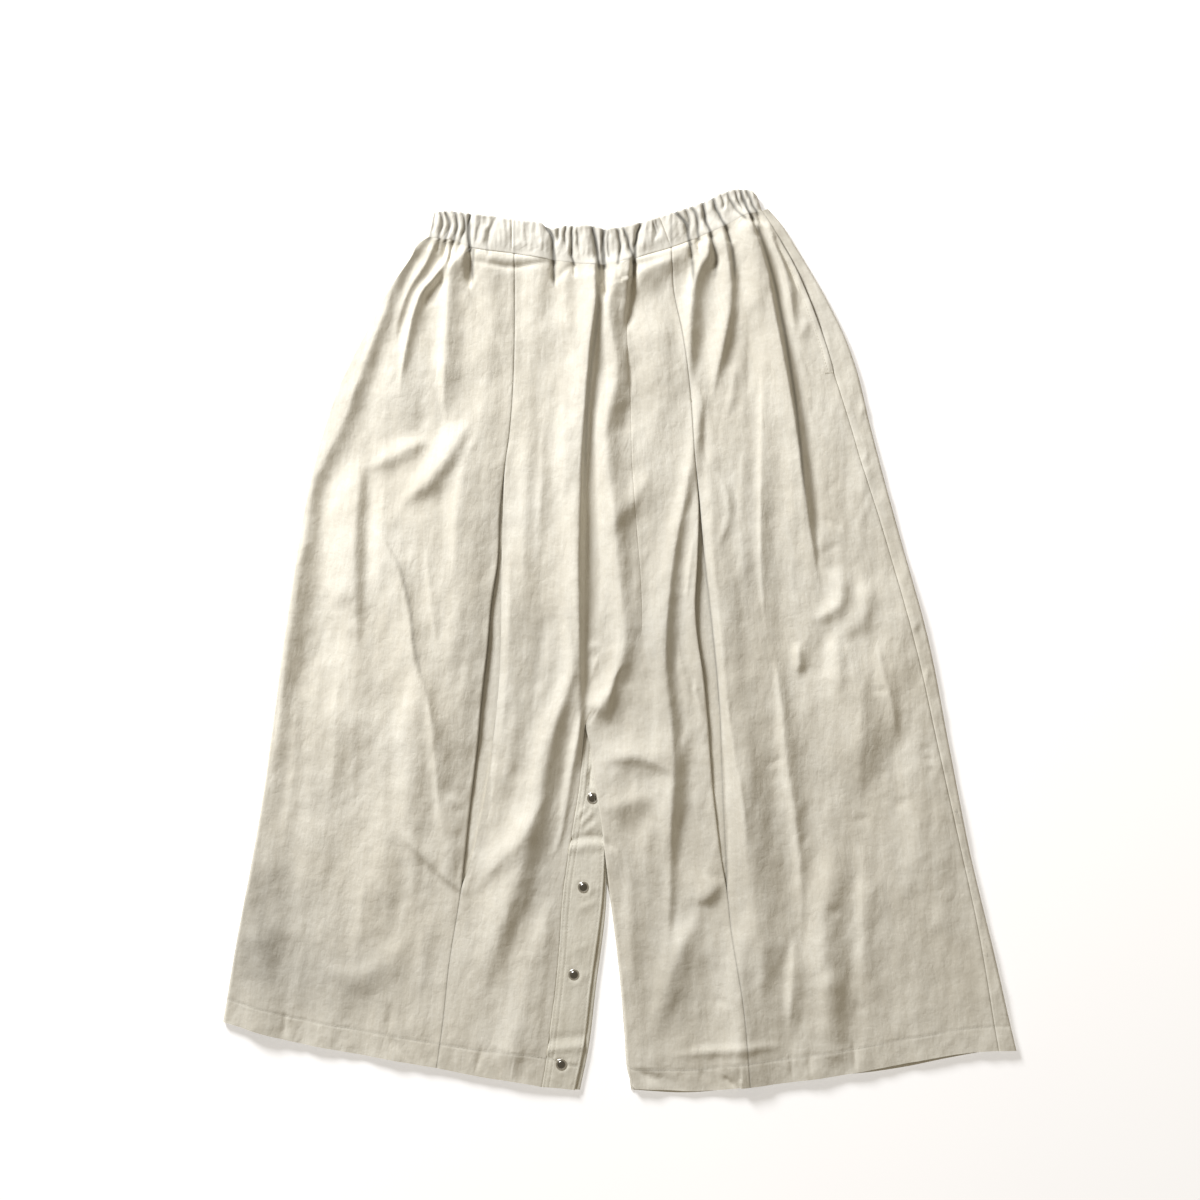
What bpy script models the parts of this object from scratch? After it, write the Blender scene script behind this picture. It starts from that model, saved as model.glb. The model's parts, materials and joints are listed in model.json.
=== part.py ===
"""Wide cropped culottes, laid flat on their back.

Lengths in the tables are millimetres on a square cutting board: x to the right, y down from the
board's upper left corner, z up from the board. The finished part is moved so that its bounding box
is centred on the origin and stands on z = 0, in metres, with the waist towards +Y.
"Right" and "left" in piece names are the wearer's.
"""

from collections import namedtuple

import bmesh
import bpy
import numpy as np

MM = 0.001

# ---- Driving dimensions, in millimetres ----
CLOTH = 1.2            # wall of one layer of washed cotton twill, with the air its weave holds
HEM_CLOTH = 2.0        # wall where the hem is turned up
PLACKET_CLOTH = 1.5    # wall of the placket strips
BAND_CLOTH = 3.4       # casing with the elastic inside it
LAYER_GAP = 0.3        # between layers that lie on each other
SEAM_GAP = 0.3         # between pieces that are sewn edge to edge
WAIST_GAP = 0.5        # between the waistband and the panels
BACK_WAIST_GAP = 1.2   # the same at the back, whose longer faces cut the curve's corners
HEM_DEPTH = 24.0       # from the hem's stitch line to its edge
FRONT_HEIGHT = 6.0     # outer face of the front over the board, where it lies flat
WAIST_HEIGHT = 8.0     # the same along the waist seam
BAND_HEIGHT = 10.8     # outer face of the front waistband between two gathers
EDGE_RADIUS = 3.0      # half width of the rounded side folds
UNDER_LAP = 22.0       # how far the right front passes under the right side
LOWEST_FRONT = 4.3     # floor of the deepest fold in the front, measured on its outer face
PLEAT_BACKING = 22.0   # how far a pleat's underlay reaches behind each pleat edge
PLEAT_TOP = 440.0      # board y of the ends of the pleat underlays
PLEAT_FOOT = 912.0
PLEAT_FULL_OPEN = 6.0  # opening at which a pleat's edges have rolled fully down
PLEAT_FALL = 1.2       # how far an open pleat's edge rolls down
LIP_FALL = 1.0         # the same where the left leg lies over the placket
LIP_TILT = 0.35        # and how far its edge leans out there, in radians
OVERLAP_BEGINS = (720.0, 760.0)   # board y between which the left leg rises over the placket
OVERLAP_ENDS = (885.0, 915.0)     # and between which it turns down beside it
PLACKET_DIP = 2.6      # how far the placket lies lower at its covered top
UNDER_PLACKET_STEP = 1.5          # how far the under placket's seam lies inside the front one's
LOWEST_BAND = 7.2      # floor of the deepest gather in the front band, on its outer face
BAND_ROLL = 7.0        # how much of the band's length turns down at its free ends
BAND_NOTCH = 0.4       # how deep a gather notches the band's top edge, as a share of its depth
BAND_EDGE_DROP = 1.0   # how far the band rounds down along its top edge and its seam
BACK_BAND_SHARE = 0.97 # height of the back band as a share of the front's
RIGHT_BAND_SEAM = 512.0           # board x of the band's seams, on its lower edge
LEFT_BAND_SEAM = 671.0
SNAP_RADIUS = 5.75
SNAP_HEIGHT = 1.2
SNAP_SIDES = 20
SNAP_PROFILE = [(0.0, 1.0), (0.45, 0.94), (0.8, 0.7), (0.97, 0.3), (1.0, 0.0), (0.0, 0.0)]
BOARD_CENTRE = (619.75, 641.25)
WAIST_Y = 264.0        # board y of the waist seam at the centre front
ROW_LENGTH = 1080.0    # board y that every lengthwise line is measured against
LENGTH = ROW_LENGTH - WAIST_Y
CROTCH = 720.0 - WAIST_Y
LATE_FROM = 0.6        # share of the length below which each line takes up its own hem
END_BEND = 8           # how closely the rows' bend keeps to the waist and the hems, as a power
WAIST_FADE = 30.0      # how far below the waist seam its extra height dies away
FOLD_START = 14.0      # how far below it the folds reach their full height
FOLD_AT_SEAM = 0.35    # and the share of that height that they have at the seam
FLOOR_SOFTNESS = 0.6   # how soon a deep fold is eased towards its floor
PLACKET_RISE = (775.0, 722.0)     # board y between which the placket rises to the front's level
UNDER_PLACKET_ROW = 3  # rows between the crotch and the top of the under placket

# ---- Mesh density ----
FIRST_ROW = 9.0        # row spacing under the waistband
ROW_GROWTH = 1.1
LONGEST_ROW = 30.0
ROLL_STEPS = 5         # faces round a side fold
FOLD_START_FADE = (-0.25, 0.12)   # shares of a fold's length over which it begins
FOLD_END_FADE = (1.02, 0.72)      # and over which it dies away
BAND_STEP = 3.4        # column spacing along the waistband
BAND_ROWS = 5
SIDE_COLUMNS = 20
CENTRE_COLUMNS = 18
INNER_COLUMNS = 11
BACK_COLUMNS = 8
BACK_BAND_COLUMNS = 24
EDGE_COLUMNS = np.array([[0.0, 0.9, 2.6]])   # columns this far in from a free edge
EDGE_FALL = np.array([[1.0, 0.38, 0.0]])     # and the share of the edge's fall at each
INNER_FALL = np.array([[1.0, 0.3, 0.05]])
PLACKET_COLUMNS = np.array([[0.0, 0.33, 0.67, 0.96, 1.0]])

# ---- Outline and seams: board y, then the x of the piece on the left and on the right ----
Edge = namedtuple("Edge", "y left right")

LEFT_SIDE = [
    Edge(238, 427, 427), Edge(246, 416, 416), Edge(256, 411, 411), Edge(286, 391, 391),
    Edge(318, 373.5, 373.5), Edge(356, 353, 353), Edge(394, 335.5, 335.5), Edge(438, 321, 321),
    Edge(473, 312, 312), Edge(517, 303, 303), Edge(576, 294, 294), Edge(638, 285, 285),
    Edge(728, 273, 273), Edge(792, 264, 264), Edge(875, 250, 250), Edge(948, 236, 236),
    Edge(1021, 223.5, 223.5),
]
RIGHT_PLEAT = [
    Edge(255, 514.5, 514.5), Edge(284, 515, 515), Edge(356, 514.4, 514.4), Edge(431, 510, 510),
    Edge(460, 506, 506), Edge(513, 500, 503), Edge(561, 498, 502), Edge(604, 491.5, 501.5),
    Edge(645, 488, 501), Edge(698, 482, 498), Edge(743, 478, 493), Edge(801, 471, 484),
    Edge(860, 464.5, 471), Edge(892, 461, 461), Edge(960, 450, 450), Edge(1024, 443, 443),
    Edge(1067, 437, 437),
]
CENTRE_FRONT = [
    Edge(260, 633, 633), Edge(301, 629, 629), Edge(330, 627, 627), Edge(399, 630.5, 630.5),
    Edge(462, 632, 632), Edge(520, 636, 636), Edge(584, 641, 641), Edge(625, 642, 642),
    Edge(650, 634, 634), Edge(675, 617, 617), Edge(700, 599, 599), Edge(720, 587, 587),
    Edge(745, 583, 590), Edge(771, 581, 593), Edge(797, 578, 597), Edge(820, 574, 601),
    Edge(845, 570, 604), Edge(870, 566, 607), Edge(900, 562.5, 610.5), Edge(961, 558, 618),
    Edge(1023, 551, 624), Edge(1068, 545, 627), Edge(1086, 542, 632),
]
LEFT_PLEAT = [
    Edge(249, 671, 671), Edge(265, 672, 672), Edge(293, 674, 674), Edge(332, 682, 682),
    Edge(383, 689.5, 689.5), Edge(447, 694, 694), Edge(513, 698.5, 700.5), Edge(564, 697, 705),
    Edge(604, 695, 709.5), Edge(635, 697, 713), Edge(676, 703, 717), Edge(716, 707, 720),
    Edge(793, 713, 722.5), Edge(863, 722, 726), Edge(897, 727.5, 727.5), Edge(931, 731, 731),
    Edge(1007, 743, 743), Edge(1086, 750, 750),
]
SIDE_SEAM = [
    Edge(212, 762, 762), Edge(240, 779, 779), Edge(273, 797, 797), Edge(314, 814, 814),
    Edge(344, 825, 825), Edge(376, 834.5, 834.5), Edge(429, 851, 851), Edge(460, 860, 860),
    Edge(522, 880, 880), Edge(605, 904, 904), Edge(667, 920, 920), Edge(740, 936, 936),
    Edge(839, 958, 958), Edge(931, 978, 978), Edge(1026, 994, 994), Edge(1050, 998, 998),
]
RIGHT_EDGE = [
    Edge(210, 768, 768), Edge(225, 781, 781), Edge(250, 797, 797), Edge(278, 814, 814),
    Edge(308, 830.5, 830.5), Edge(336, 844, 844), Edge(369, 856, 856), Edge(426, 870, 870),
    Edge(476, 883, 883), Edge(534, 899, 899), Edge(640, 928, 928), Edge(747, 949, 949),
    Edge(854, 970, 970), Edge(952, 993.5, 993.5), Edge(1016, 1008, 1008), Edge(1050, 1016, 1016),
]
CENTRE_BACK = [
    Edge(265, 612, 612), Edge(640, 611, 611), Edge(868, 605.5, 605.5), Edge(904, 601, 611),
    Edge(986, 591, 620.5), Edge(1045, 582.5, 625.5), Edge(1089, 574, 631),
]
PLACKET_EDGE = [
    Edge(720, 609, 609), Edge(800, 607.5, 607.5), Edge(845, 605, 604.5), Edge(868, 604.5, 606.5),
    Edge(904, 602, 606), Edge(986, 591, 596), Edge(1045, 584, 589), Edge(1089, 575, 580),
]

# ---- Curves along the waist and the hems: board x, board y ----
WAIST_SEAM = [
    (427, 238), (440, 240), (455, 242), (473, 249), (512, 254.5), (539, 259), (565, 263),
    (597, 266), (623, 262.5), (650, 255), (671, 249), (700, 238), (725, 227), (743, 217.5),
    (762, 212), (768, 210), (780, 206),
]
BAND_TOP = [
    (434, 212.5), (445, 211), (472, 214), (489, 216), (512, 220), (539, 223), (553, 229),
    (566, 226), (592, 226), (605, 229), (622, 227), (645, 221.5), (660, 217), (684, 209),
    (705, 201.5), (721, 194), (738, 189.5), (748, 190), (757, 197),
]
BAND_LEAN = [
    (427, 434), (512, 512), (552, 549), (597, 594), (633, 640), (671, 659), (692, 675),
    (714, 695), (729, 719), (752, 741), (762, 757),
]
RIGHT_HEM = [(223.5, 1021), (288, 1039), (376, 1056), (479, 1073), (540, 1080), (580, 1090)]
LEFT_HEM = [
    (626, 1087), (636, 1093), (682, 1093), (756, 1085), (835, 1075), (912, 1061), (958, 1053),
    (998, 1050), (1016, 1050),
]
LEFT_BACK_HEM = [
    (631, 1089), (682, 1092), (756, 1085), (835, 1075), (870, 1071.5), (906, 1066), (955, 1056),
    (998, 1050), (1016, 1050),
]

# ---- Folds: a path of (x, y), then how far the fold reaches to its left and right, and its height ----
Fold = namedtuple("Fold", "name path left right height")

FRONT_FOLDS = [
    Fold("centre_lip", [(594, 262), (593, 311), (591, 340), (587, 380), (582, 420), (578, 460),
                        (576, 502), (576, 560), (578, 625)], 16, 5, 9.0),
    Fold("centre_valley", [(603, 262), (602, 311), (601, 340), (597, 380), (592, 420),
                           (588, 460), (586, 502), (586, 560), (588, 610)], 5, 6, -3.5),
    Fold("centre_ridge", [(616, 262), (609, 290), (607, 315), (611, 347), (617, 375), (606, 421),
                          (603, 462), (605, 523), (613, 584), (620, 625), (620, 645), (608, 686),
                          (594, 708)], 9, 8, 7.5),
    Fold("centre_basin", [(630, 420), (640, 470), (636, 530)], 12, 12, -1.6),
    Fold("right_centre_ridge", [(692, 440), (678, 500), (667, 560), (657, 620), (650, 690)],
         18, 8, 6.0),
    Fold("right_centre_valley", [(688, 500), (677, 560), (670, 610), (665, 650)], 7, 7, -2.0),
    Fold("thigh_ridge", [(648, 640), (657, 690), (661, 740), (660, 775), (652, 811), (647, 860),
                         (646, 915), (652, 992)], 14, 16, 6.0),
    Fold("thigh_wedge", [(622, 775), (645, 774), (658, 768)], 9, 9, -2.0),
    Fold("long_ridge", [(750, 226), (763, 270), (773, 319), (783, 375), (790, 429), (796, 467),
                        (804, 529), (812, 590)], 16, 6, 8.0),
    Fold("long_valley", [(760, 226), (773, 270), (784, 319), (795, 380), (802, 440), (810, 500),
                         (819, 575)], 6, 8, -2.6),
    Fold("left_gather_1", [(702, 240), (702, 270), (697, 300), (697, 340), (704, 400)],
         8, 9, 7.0),
    Fold("left_gather_valley", [(716, 234), (717, 275), (714, 320)], 5, 6, -3.0),
    Fold("left_gather_2", [(725, 230), (731, 270), (731, 303), (727, 340), (718, 390)],
         8, 7, 7.0),
    Fold("left_gather_3", [(741, 222), (748, 250), (752, 290), (754, 350)], 7, 7, 4.0),
    Fold("left_seam_valley", [(684, 246), (684, 280), (688, 320)], 6, 6, -2.2),
    Fold("right_gather_1", [(444, 242), (436, 288), (417, 320), (408, 360), (399, 400),
                            (392, 450)], 12, 14, 7.0),
    Fold("right_side_valley", [(432, 244), (413, 272), (395, 300), (371, 340), (350, 395),
                               (330, 470)], 8, 9, -2.8),
    Fold("right_gather_2", [(461, 246), (464, 300), (459, 350), (447, 420)], 9, 8, 5.5),
    Fold("right_gather_valley", [(471, 249), (472, 283), (474, 330)], 5, 6, -2.8),
    Fold("right_drag_1", [(476, 424), (444, 440), (415, 458), (371, 482)], 10, 10, 3.0),
    Fold("right_drag_2", [(474, 436), (444, 470), (403, 514)], 9, 9, 3.0),
    Fold("right_crease", [(374, 526), (397, 576), (410, 638), (428, 704), (437, 757),
                          (435, 810)], 10, 7, 3.5),
    Fold("right_soft", [(367, 480), (362, 560), (360, 640)], 14, 14, 2.2),
    Fold("right_gather_3", [(560, 263), (556, 300), (556, 350), (562, 420), (564, 520)],
         10, 9, 4.5),
    Fold("right_gather_4", [(579, 264), (574, 300), (575, 350)], 7, 6, 3.6),
    Fold("right_centre_valley_2", [(549, 262), (546, 290), (544, 330)], 6, 6, -2.4),
    Fold("right_thigh", [(566, 690), (540, 780), (517, 850), (496, 930), (474, 1020)],
         24, 20, 5.0),
    Fold("right_knee", [(424, 850), (444, 876), (458, 900)], 10, 10, 2.8),
    Fold("left_swirl", [(812, 596), (830, 605), (846, 632)], 14, 14, 3.2),
    Fold("left_long_soft", [(842, 660), (858, 760), (872, 880), (884, 990)], 26, 26, 3.2),
    Fold("left_pressed", [(769, 380), (766, 472), (767, 564), (774, 650), (782, 738), (796, 830),
                          (799, 946)], 12, 10, 2.0),
    Fold("right_pleat_lips", [(503, 470), (499, 560), (494, 645), (487, 743), (470, 850)],
         20, 20, 3.2),
    Fold("left_pleat_lips", [(697, 470), (702, 560), (706, 640), (714, 740), (722, 860)],
         20, 20, 3.2),
]
LEFT_LEG_FOLDS = [
    Fold("inner_lip", [(586, 712), (592, 758), (597, 797), (604, 845), (608, 885), (612, 930)],
         40, 34, 5.5),
]
POCKET_FOLDS = [
    Fold("pocket_mouth", [(774, 243), (793, 276), (810, 316), (822, 352)], 9, 9, 2.2),
]
BAND_FOLDS = [
    Fold("gather_01", [(434, 214), (434, 241)], 3, 3, -2.4),
    Fold("gather_02", [(443, 216), (444, 242)], 3, 3, -2.0),
    Fold("gather_03", [(453, 214), (456, 242)], 3, 3, -2.6),
    Fold("gather_04", [(465, 216), (460, 244)], 3, 3, -2.0),
    Fold("gather_05", [(471, 212), (471, 252)], 3.6, 3.6, -3.4),
    Fold("gather_06", [(489, 216), (490, 252)], 5, 5, -1.2),
    Fold("gather_07", [(527, 222), (528, 258)], 5, 5, -1.0),
    Fold("gather_08", [(549, 226), (553, 264)], 3.6, 3.6, -3.4),
    Fold("gather_09", [(559, 227), (558, 264)], 3, 3, -1.8),
    Fold("gather_10", [(565, 226), (564, 264)], 3, 3, -2.0),
    Fold("gather_11", [(571, 226), (570, 266)], 3, 3, -2.8),
    Fold("gather_12", [(581, 226), (579, 266)], 3.4, 3.4, -2.6),
    Fold("gather_13", [(594, 226), (598, 268)], 3.6, 3.6, -3.2),
    Fold("gather_14", [(606, 228), (606, 268)], 3.6, 3.6, -3.5),
    Fold("gather_15", [(619, 227), (620, 266)], 3.4, 3.4, -2.8),
    Fold("gather_16", [(628, 226), (633, 262)], 3.4, 3.4, -2.4),
    Fold("gather_17", [(643, 222), (637, 262)], 3.4, 3.4, -2.6),
    Fold("gather_18", [(674, 214), (690, 246)], 4, 4, -3.4),
    Fold("gather_19", [(683, 210), (699, 241)], 3, 3, -2.0),
    Fold("gather_20", [(695, 206), (712, 236)], 4, 4, -3.4),
    Fold("gather_21", [(707, 201), (719, 232)], 3, 3, -2.0),
    Fold("gather_22", [(719, 195), (728, 228)], 3.6, 3.6, -3.2),
    Fold("gather_23", [(730, 192), (739, 222)], 3, 3, -1.8),
    Fold("gather_24", [(741, 190), (750, 218)], 3.4, 3.4, -3.0),
    Fold("gather_25", [(749, 190), (757, 215)], 3, 3, -1.6),
]
SNAPS = [(592.5, 797.5), (583.4, 886.4), (574.0, 973.8), (561.4, 1063.3)]

Look = namedtuple("Look", "name colour roughness metallic")
TWILL = Look("cotton_twill", (0.80, 0.77, 0.68, 1.0), 0.86, 0.0)
SNAP_METAL = Look("snap_metal", (0.36, 0.35, 0.33, 1.0), 0.3, 1.0)


# ---- Curves ----
def flow(knots, values, at):
    """A smooth curve through the values at the knots, read at the given places.

    Each span is a cubic whose end slopes are the mean of the neighbouring chord slopes, cut back
    to three times the flatter chord so that the curve never overshoots its points.
    """
    knots = np.asarray(knots, float)
    values = np.asarray(values, float)
    chord = np.diff(values) / np.diff(knots)
    inner = 0.5 * (chord[1:] + chord[:-1])
    limit = 3.0 * np.minimum(abs(chord[1:]), abs(chord[:-1]))
    inner = np.where(chord[1:] * chord[:-1] > 0, np.clip(inner, -limit, limit), 0.0)
    slope = np.concatenate([chord[:1], inner, chord[-1:]])
    at = np.clip(at, knots[0], knots[-1])
    span = np.clip(np.searchsorted(knots, at, side="right") - 1, 0, len(knots) - 2)
    width = knots[span + 1] - knots[span]
    t = (at - knots[span]) / width
    return (
        (1 + 2 * t) * (1 - t) ** 2 * values[span]
        + t * (1 - t) ** 2 * width * slope[span]
        + t**2 * (3 - 2 * t) * values[span + 1]
        - t**2 * (1 - t) * width * slope[span + 1]
    )


def along(curve, x):
    """Board y of a crosswise curve at x."""
    return flow([p[0] for p in curve], [p[1] for p in curve], x)


def ease(start, end, value):
    """0 before start, 1 after end, with a soft passage between them."""
    t = np.clip((value - start) / (end - start), 0.0, 1.0)
    return t * t * (3 - 2 * t)


def lengthwise(edges, rows, side):
    """Board x and y of one side of a lengthwise line, at the shared rows (0 waist, 1 hem).

    The right side is the left side moved by their distance, so both are one line where it is shut.
    All lines run at the same pace down to the crotch; only below it does each make up the
    difference between its own hem and ROW_LENGTH, so that pieces that share a line share points.
    """
    top = along(WAIST_SEAM, edges[0].left)
    late = np.clip((rows - LATE_FROM) / (1.0 - LATE_FROM), 0.0, 1.0) ** 2
    y = top + (ROW_LENGTH - top) * rows + (edges[-1].y - ROW_LENGTH) * late
    places = [e.y for e in edges]
    x = flow(places, [e.left for e in edges], y)
    if side == "right":
        x = x + flow(places, [e.right - e.left for e in edges], y)
    return x, y


# ---- Heights ----
def fold_relief(folds, x, y):
    """Sum of the folds: each is a soft ridge or trough round its path, fading out at its ends."""
    total = np.zeros_like(x)
    for fold in folds:
        path = np.asarray(fold.path, float)
        steps = np.hypot(*np.diff(path, axis=0).T)
        starts = np.concatenate([[0.0], np.cumsum(steps)])
        nearest = np.full(x.shape, 1e9)
        place = np.zeros_like(x)
        side = np.zeros_like(x)
        for a, b, step, start in zip(path, path[1:], steps, starts):
            direction = (b - a) / step
            run = np.clip((x - a[0]) * direction[0] + (y - a[1]) * direction[1], 0.0, step)
            off_x = x - a[0] - run * direction[0]
            off_y = y - a[1] - run * direction[1]
            distance = np.hypot(off_x, off_y)
            closer = distance < nearest
            nearest = np.where(closer, distance, nearest)
            place = np.where(closer, (start + run) / starts[-1], place)
            side = np.where(closer, direction[1] * off_x - direction[0] * off_y, side)
        reach = np.where(side < 0, fold.left, fold.right)
        if path[0][1] > path[-1][1]:
            reach = np.where(side < 0, fold.right, fold.left)
        fade = ease(*FOLD_END_FADE, place) * ease(*FOLD_START_FADE, place)
        total += fold.height * fade * np.exp(-((nearest / reach) ** 2))
    return total


def soft_floor(height, lowest):
    """The height, eased so that it never falls below the lowest value."""
    return lowest + FLOOR_SOFTNESS * np.logaddexp(0.0, (height - lowest) / FLOOR_SOFTNESS)


def front_height(x, y, folds=FRONT_FOLDS):
    """Outer face of the front over the board: flat cloth, a rise to the waist, and the folds."""
    below_waist = np.maximum(y - along(WAIST_SEAM, x), 0.0)
    rise = (WAIST_HEIGHT - FRONT_HEIGHT) * np.exp(-below_waist / WAIST_FADE)
    free = ease(0.0, FOLD_START, below_waist)
    relief = fold_relief(folds, x, y) * (FOLD_AT_SEAM + (1.0 - FOLD_AT_SEAM) * free)
    return soft_floor(FRONT_HEIGHT + rise + relief, LOWEST_FRONT)


def left_leg_height(x, y):
    """The same for the wearer's left leg, whose inner edge lies over the placket."""
    return front_height(x, y, FRONT_FOLDS + LEFT_LEG_FOLDS)


def pocket_side_height(x, y):
    """The same for the panel whose edge stands a little proud along the pocket's mouth."""
    return front_height(x, y, FRONT_FOLDS + LEFT_LEG_FOLDS + POCKET_FOLDS)


# ---- Rows ----
def shared_rows():
    """Row places from waist (0) to hem (1), closer together under the waistband.

    The crotch point and both ends of the turned hem are rows of their own.
    """
    places = [0.0]
    step = FIRST_ROW
    while places[-1] + step < LENGTH - HEM_DEPTH - LONGEST_ROW / 2:
        places.append(places[-1] + step)
        step = min(step * ROW_GROWTH, LONGEST_ROW)
    places = [p for p in places if abs(p - CROTCH) > LONGEST_ROW / 3]
    places += [CROTCH, LENGTH - HEM_DEPTH - 3.0, LENGTH - HEM_DEPTH, LENGTH]
    return np.array(sorted(places)) / LENGTH


ROWS = shared_rows()[:, None]


def hem_wall(rows):
    """Wall at each row: one layer, and more where the hem is turned up."""
    return np.where((1.0 - rows) * LENGTH < HEM_DEPTH + 1.0, HEM_CLOTH, CLOTH)


def row_y(x, left, right, hem, rows=ROWS):
    """Board y of the rows at x between two lengthwise lines.

    Each row is straight between the two lines, bent to the waist curve at the top and to the hem
    curve at the bottom.
    """
    share = (x - left[0]) / (right[0] - left[0])
    bends = []
    for curve in (WAIST_SEAM, hem):
        chord = along(curve, left[0]) * (1 - share) + along(curve, right[0]) * share
        bends.append(along(curve, x) - chord)
    straight = left[1] + (right[1] - left[1]) * share
    return straight + bends[0] * (1 - rows) ** END_BEND + bends[1] * rows**END_BEND


# ---- Walls ----
def on_board(x, y, z):
    """Grid points in the part's frame, in millimetres, from board x, board y and height."""
    x, y, z = np.broadcast_arrays(x, y, z)
    return np.stack([x - BOARD_CENTRE[0], BOARD_CENTRE[1] - y, z], -1)


def face_normals(points, column=-2, faces_up=True):
    """Unit normals of a grid of points, turned so that the given column faces up, or down."""
    normal = np.cross(np.gradient(points, axis=0), np.gradient(points, axis=1))
    normal /= np.linalg.norm(normal, axis=-1, keepdims=True)
    upward = normal[points.shape[0] // 2, column, 2] > 0
    return normal if upward == faces_up else -normal


def grid_triangles(points):
    """Two triangles for each cell of a grid, cut along the diagonal whose ends are more level.

    A fold that crosses a cell then runs along its cut and not over a notch. The far side of a wall
    takes the same cuts, so that its faces never come through those of the near side.
    """
    rows, columns = points.shape[:2]
    index = np.arange(rows * columns).reshape(rows, columns)
    a, b, c, d = index[:-1, :-1], index[1:, :-1], index[1:, 1:], index[:-1, 1:]
    height = points[..., 2].ravel()
    along_ac = abs(height[a] - height[c]) <= abs(height[b] - height[d])
    first = np.where(along_ac, [a, b, c], [a, b, d])
    second = np.where(along_ac, [a, c, d], [b, c, d])
    return np.concatenate([first.reshape(3, -1).T, second.reshape(3, -1).T]), index


def wall(name, outer, normal, thickness):
    """A closed wall of cloth: the outer grid, a copy set in by the thickness, and a rim."""
    inner = outer - normal * np.broadcast_to(thickness, outer.shape[:2])[..., None]
    near, index = grid_triangles(outer)
    ring = np.concatenate([index[0], index[1:, -1], index[-1, -2::-1], index[-2:0:-1, 0]])
    after = np.roll(ring, -1)
    under = index.size
    rim = np.stack([ring, after, after + under, ring + under], -1)
    faces = near.tolist() + (near[:, ::-1] + under).tolist() + rim.tolist()
    points = np.concatenate([outer.reshape(-1, 3), inner.reshape(-1, 3)]) * MM
    mesh = bpy.data.meshes.new(name)
    mesh.from_pydata(points.tolist(), [], faces)
    return mesh_object(name, mesh, TWILL)


def mesh_object(name, mesh, look):
    """An object of the mesh, its faces turned outwards, with a material of its own."""
    work = bmesh.new()
    work.from_mesh(mesh)
    bmesh.ops.recalc_face_normals(work, faces=work.faces[:])
    work.to_mesh(mesh)
    work.free()
    made = bpy.data.materials.new(f"{name}_{look.name}")
    made.use_nodes = True
    shader = made.node_tree.nodes["Principled BSDF"]
    shader.inputs["Base Color"].default_value = look.colour
    shader.inputs["Roughness"].default_value = look.roughness
    shader.inputs["Metallic"].default_value = look.metallic
    mesh.materials.append(made)
    piece = bpy.data.objects.new(name, mesh)
    COLLECTION.objects.link(piece)
    return piece


def straight_down(normal, *strips):
    """Edges that are sewn to a neighbour take their wall straight down, so none leans over."""
    for strip in strips:
        normal[strip] = (0.0, 0.0, 1.0)


def level_ends(normal):
    """The first and last rows take their wall square to the rows, so that none leans over."""
    for row in (0, -1):
        normal[row, :, 1] = 0.0
        normal[row] /= np.linalg.norm(normal[row], axis=-1, keepdims=True)


# ---- Lengthwise lines ----
def line(edges, side, shift=0.0):
    x, y = lengthwise(edges, ROWS, side)
    return x + shift, y


def waist_gap(y, gap=WAIST_GAP):
    """Panels start half the waist gap below the waist seam."""
    return y + 0.5 * gap * (1 - ROWS) ** END_BEND


def open_share(edges):
    """How far a pleat is open at each row: 0 where it is sewn shut, 1 where it gapes."""
    width = line(edges, "right")[0] - line(edges, "left")[0]
    return np.clip(width / PLEAT_FULL_OPEN, 0.0, 1.0)


# ---- Front panels ----
def column_shares(left, right, columns, free_left=True):
    """Column places (0 to 1) of a panel: three near each free edge, the rest evenly between."""
    width = right[0] - left[0]
    near_left = EDGE_COLUMNS / width if free_left else 0.0 * width
    near_right = 1.0 - EDGE_COLUMNS[:, ::-1] / width
    even = np.linspace(0.0, 1.0, columns)[None, 1:-1]
    between = near_left[:, -1:] + (near_right[:, :1] - near_left[:, -1:]) * even
    return np.concatenate([near_left, between, near_right], axis=1)


def side_turn():
    """Angles round a side fold, from the board up over the edge."""
    return np.linspace(0.0, np.pi, ROLL_STEPS + 1)[None, :]


def flat_panel(name, left, right, hem, columns, height, fall_left=0.0, fall_right=0.0):
    """A front panel between two lengthwise lines.

    The falls say how far a free edge rolls down at each row: nothing where it is sewn.
    """
    x = left[0] + (right[0] - left[0]) * column_shares(left, right, columns)
    y = waist_gap(row_y(x, left, right, hem))
    z = height(x, y)
    z[:, :3] -= fall_left * EDGE_FALL
    z[:, -3:] -= fall_right * EDGE_FALL[:, ::-1]
    outer = on_board(x, y, z)
    normal = face_normals(outer)
    straight_down(normal, np.s_[:, :2], np.s_[:, -2:], np.s_[:1], np.s_[-1:])
    wall(name, outer, normal, hem_wall(ROWS))


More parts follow.
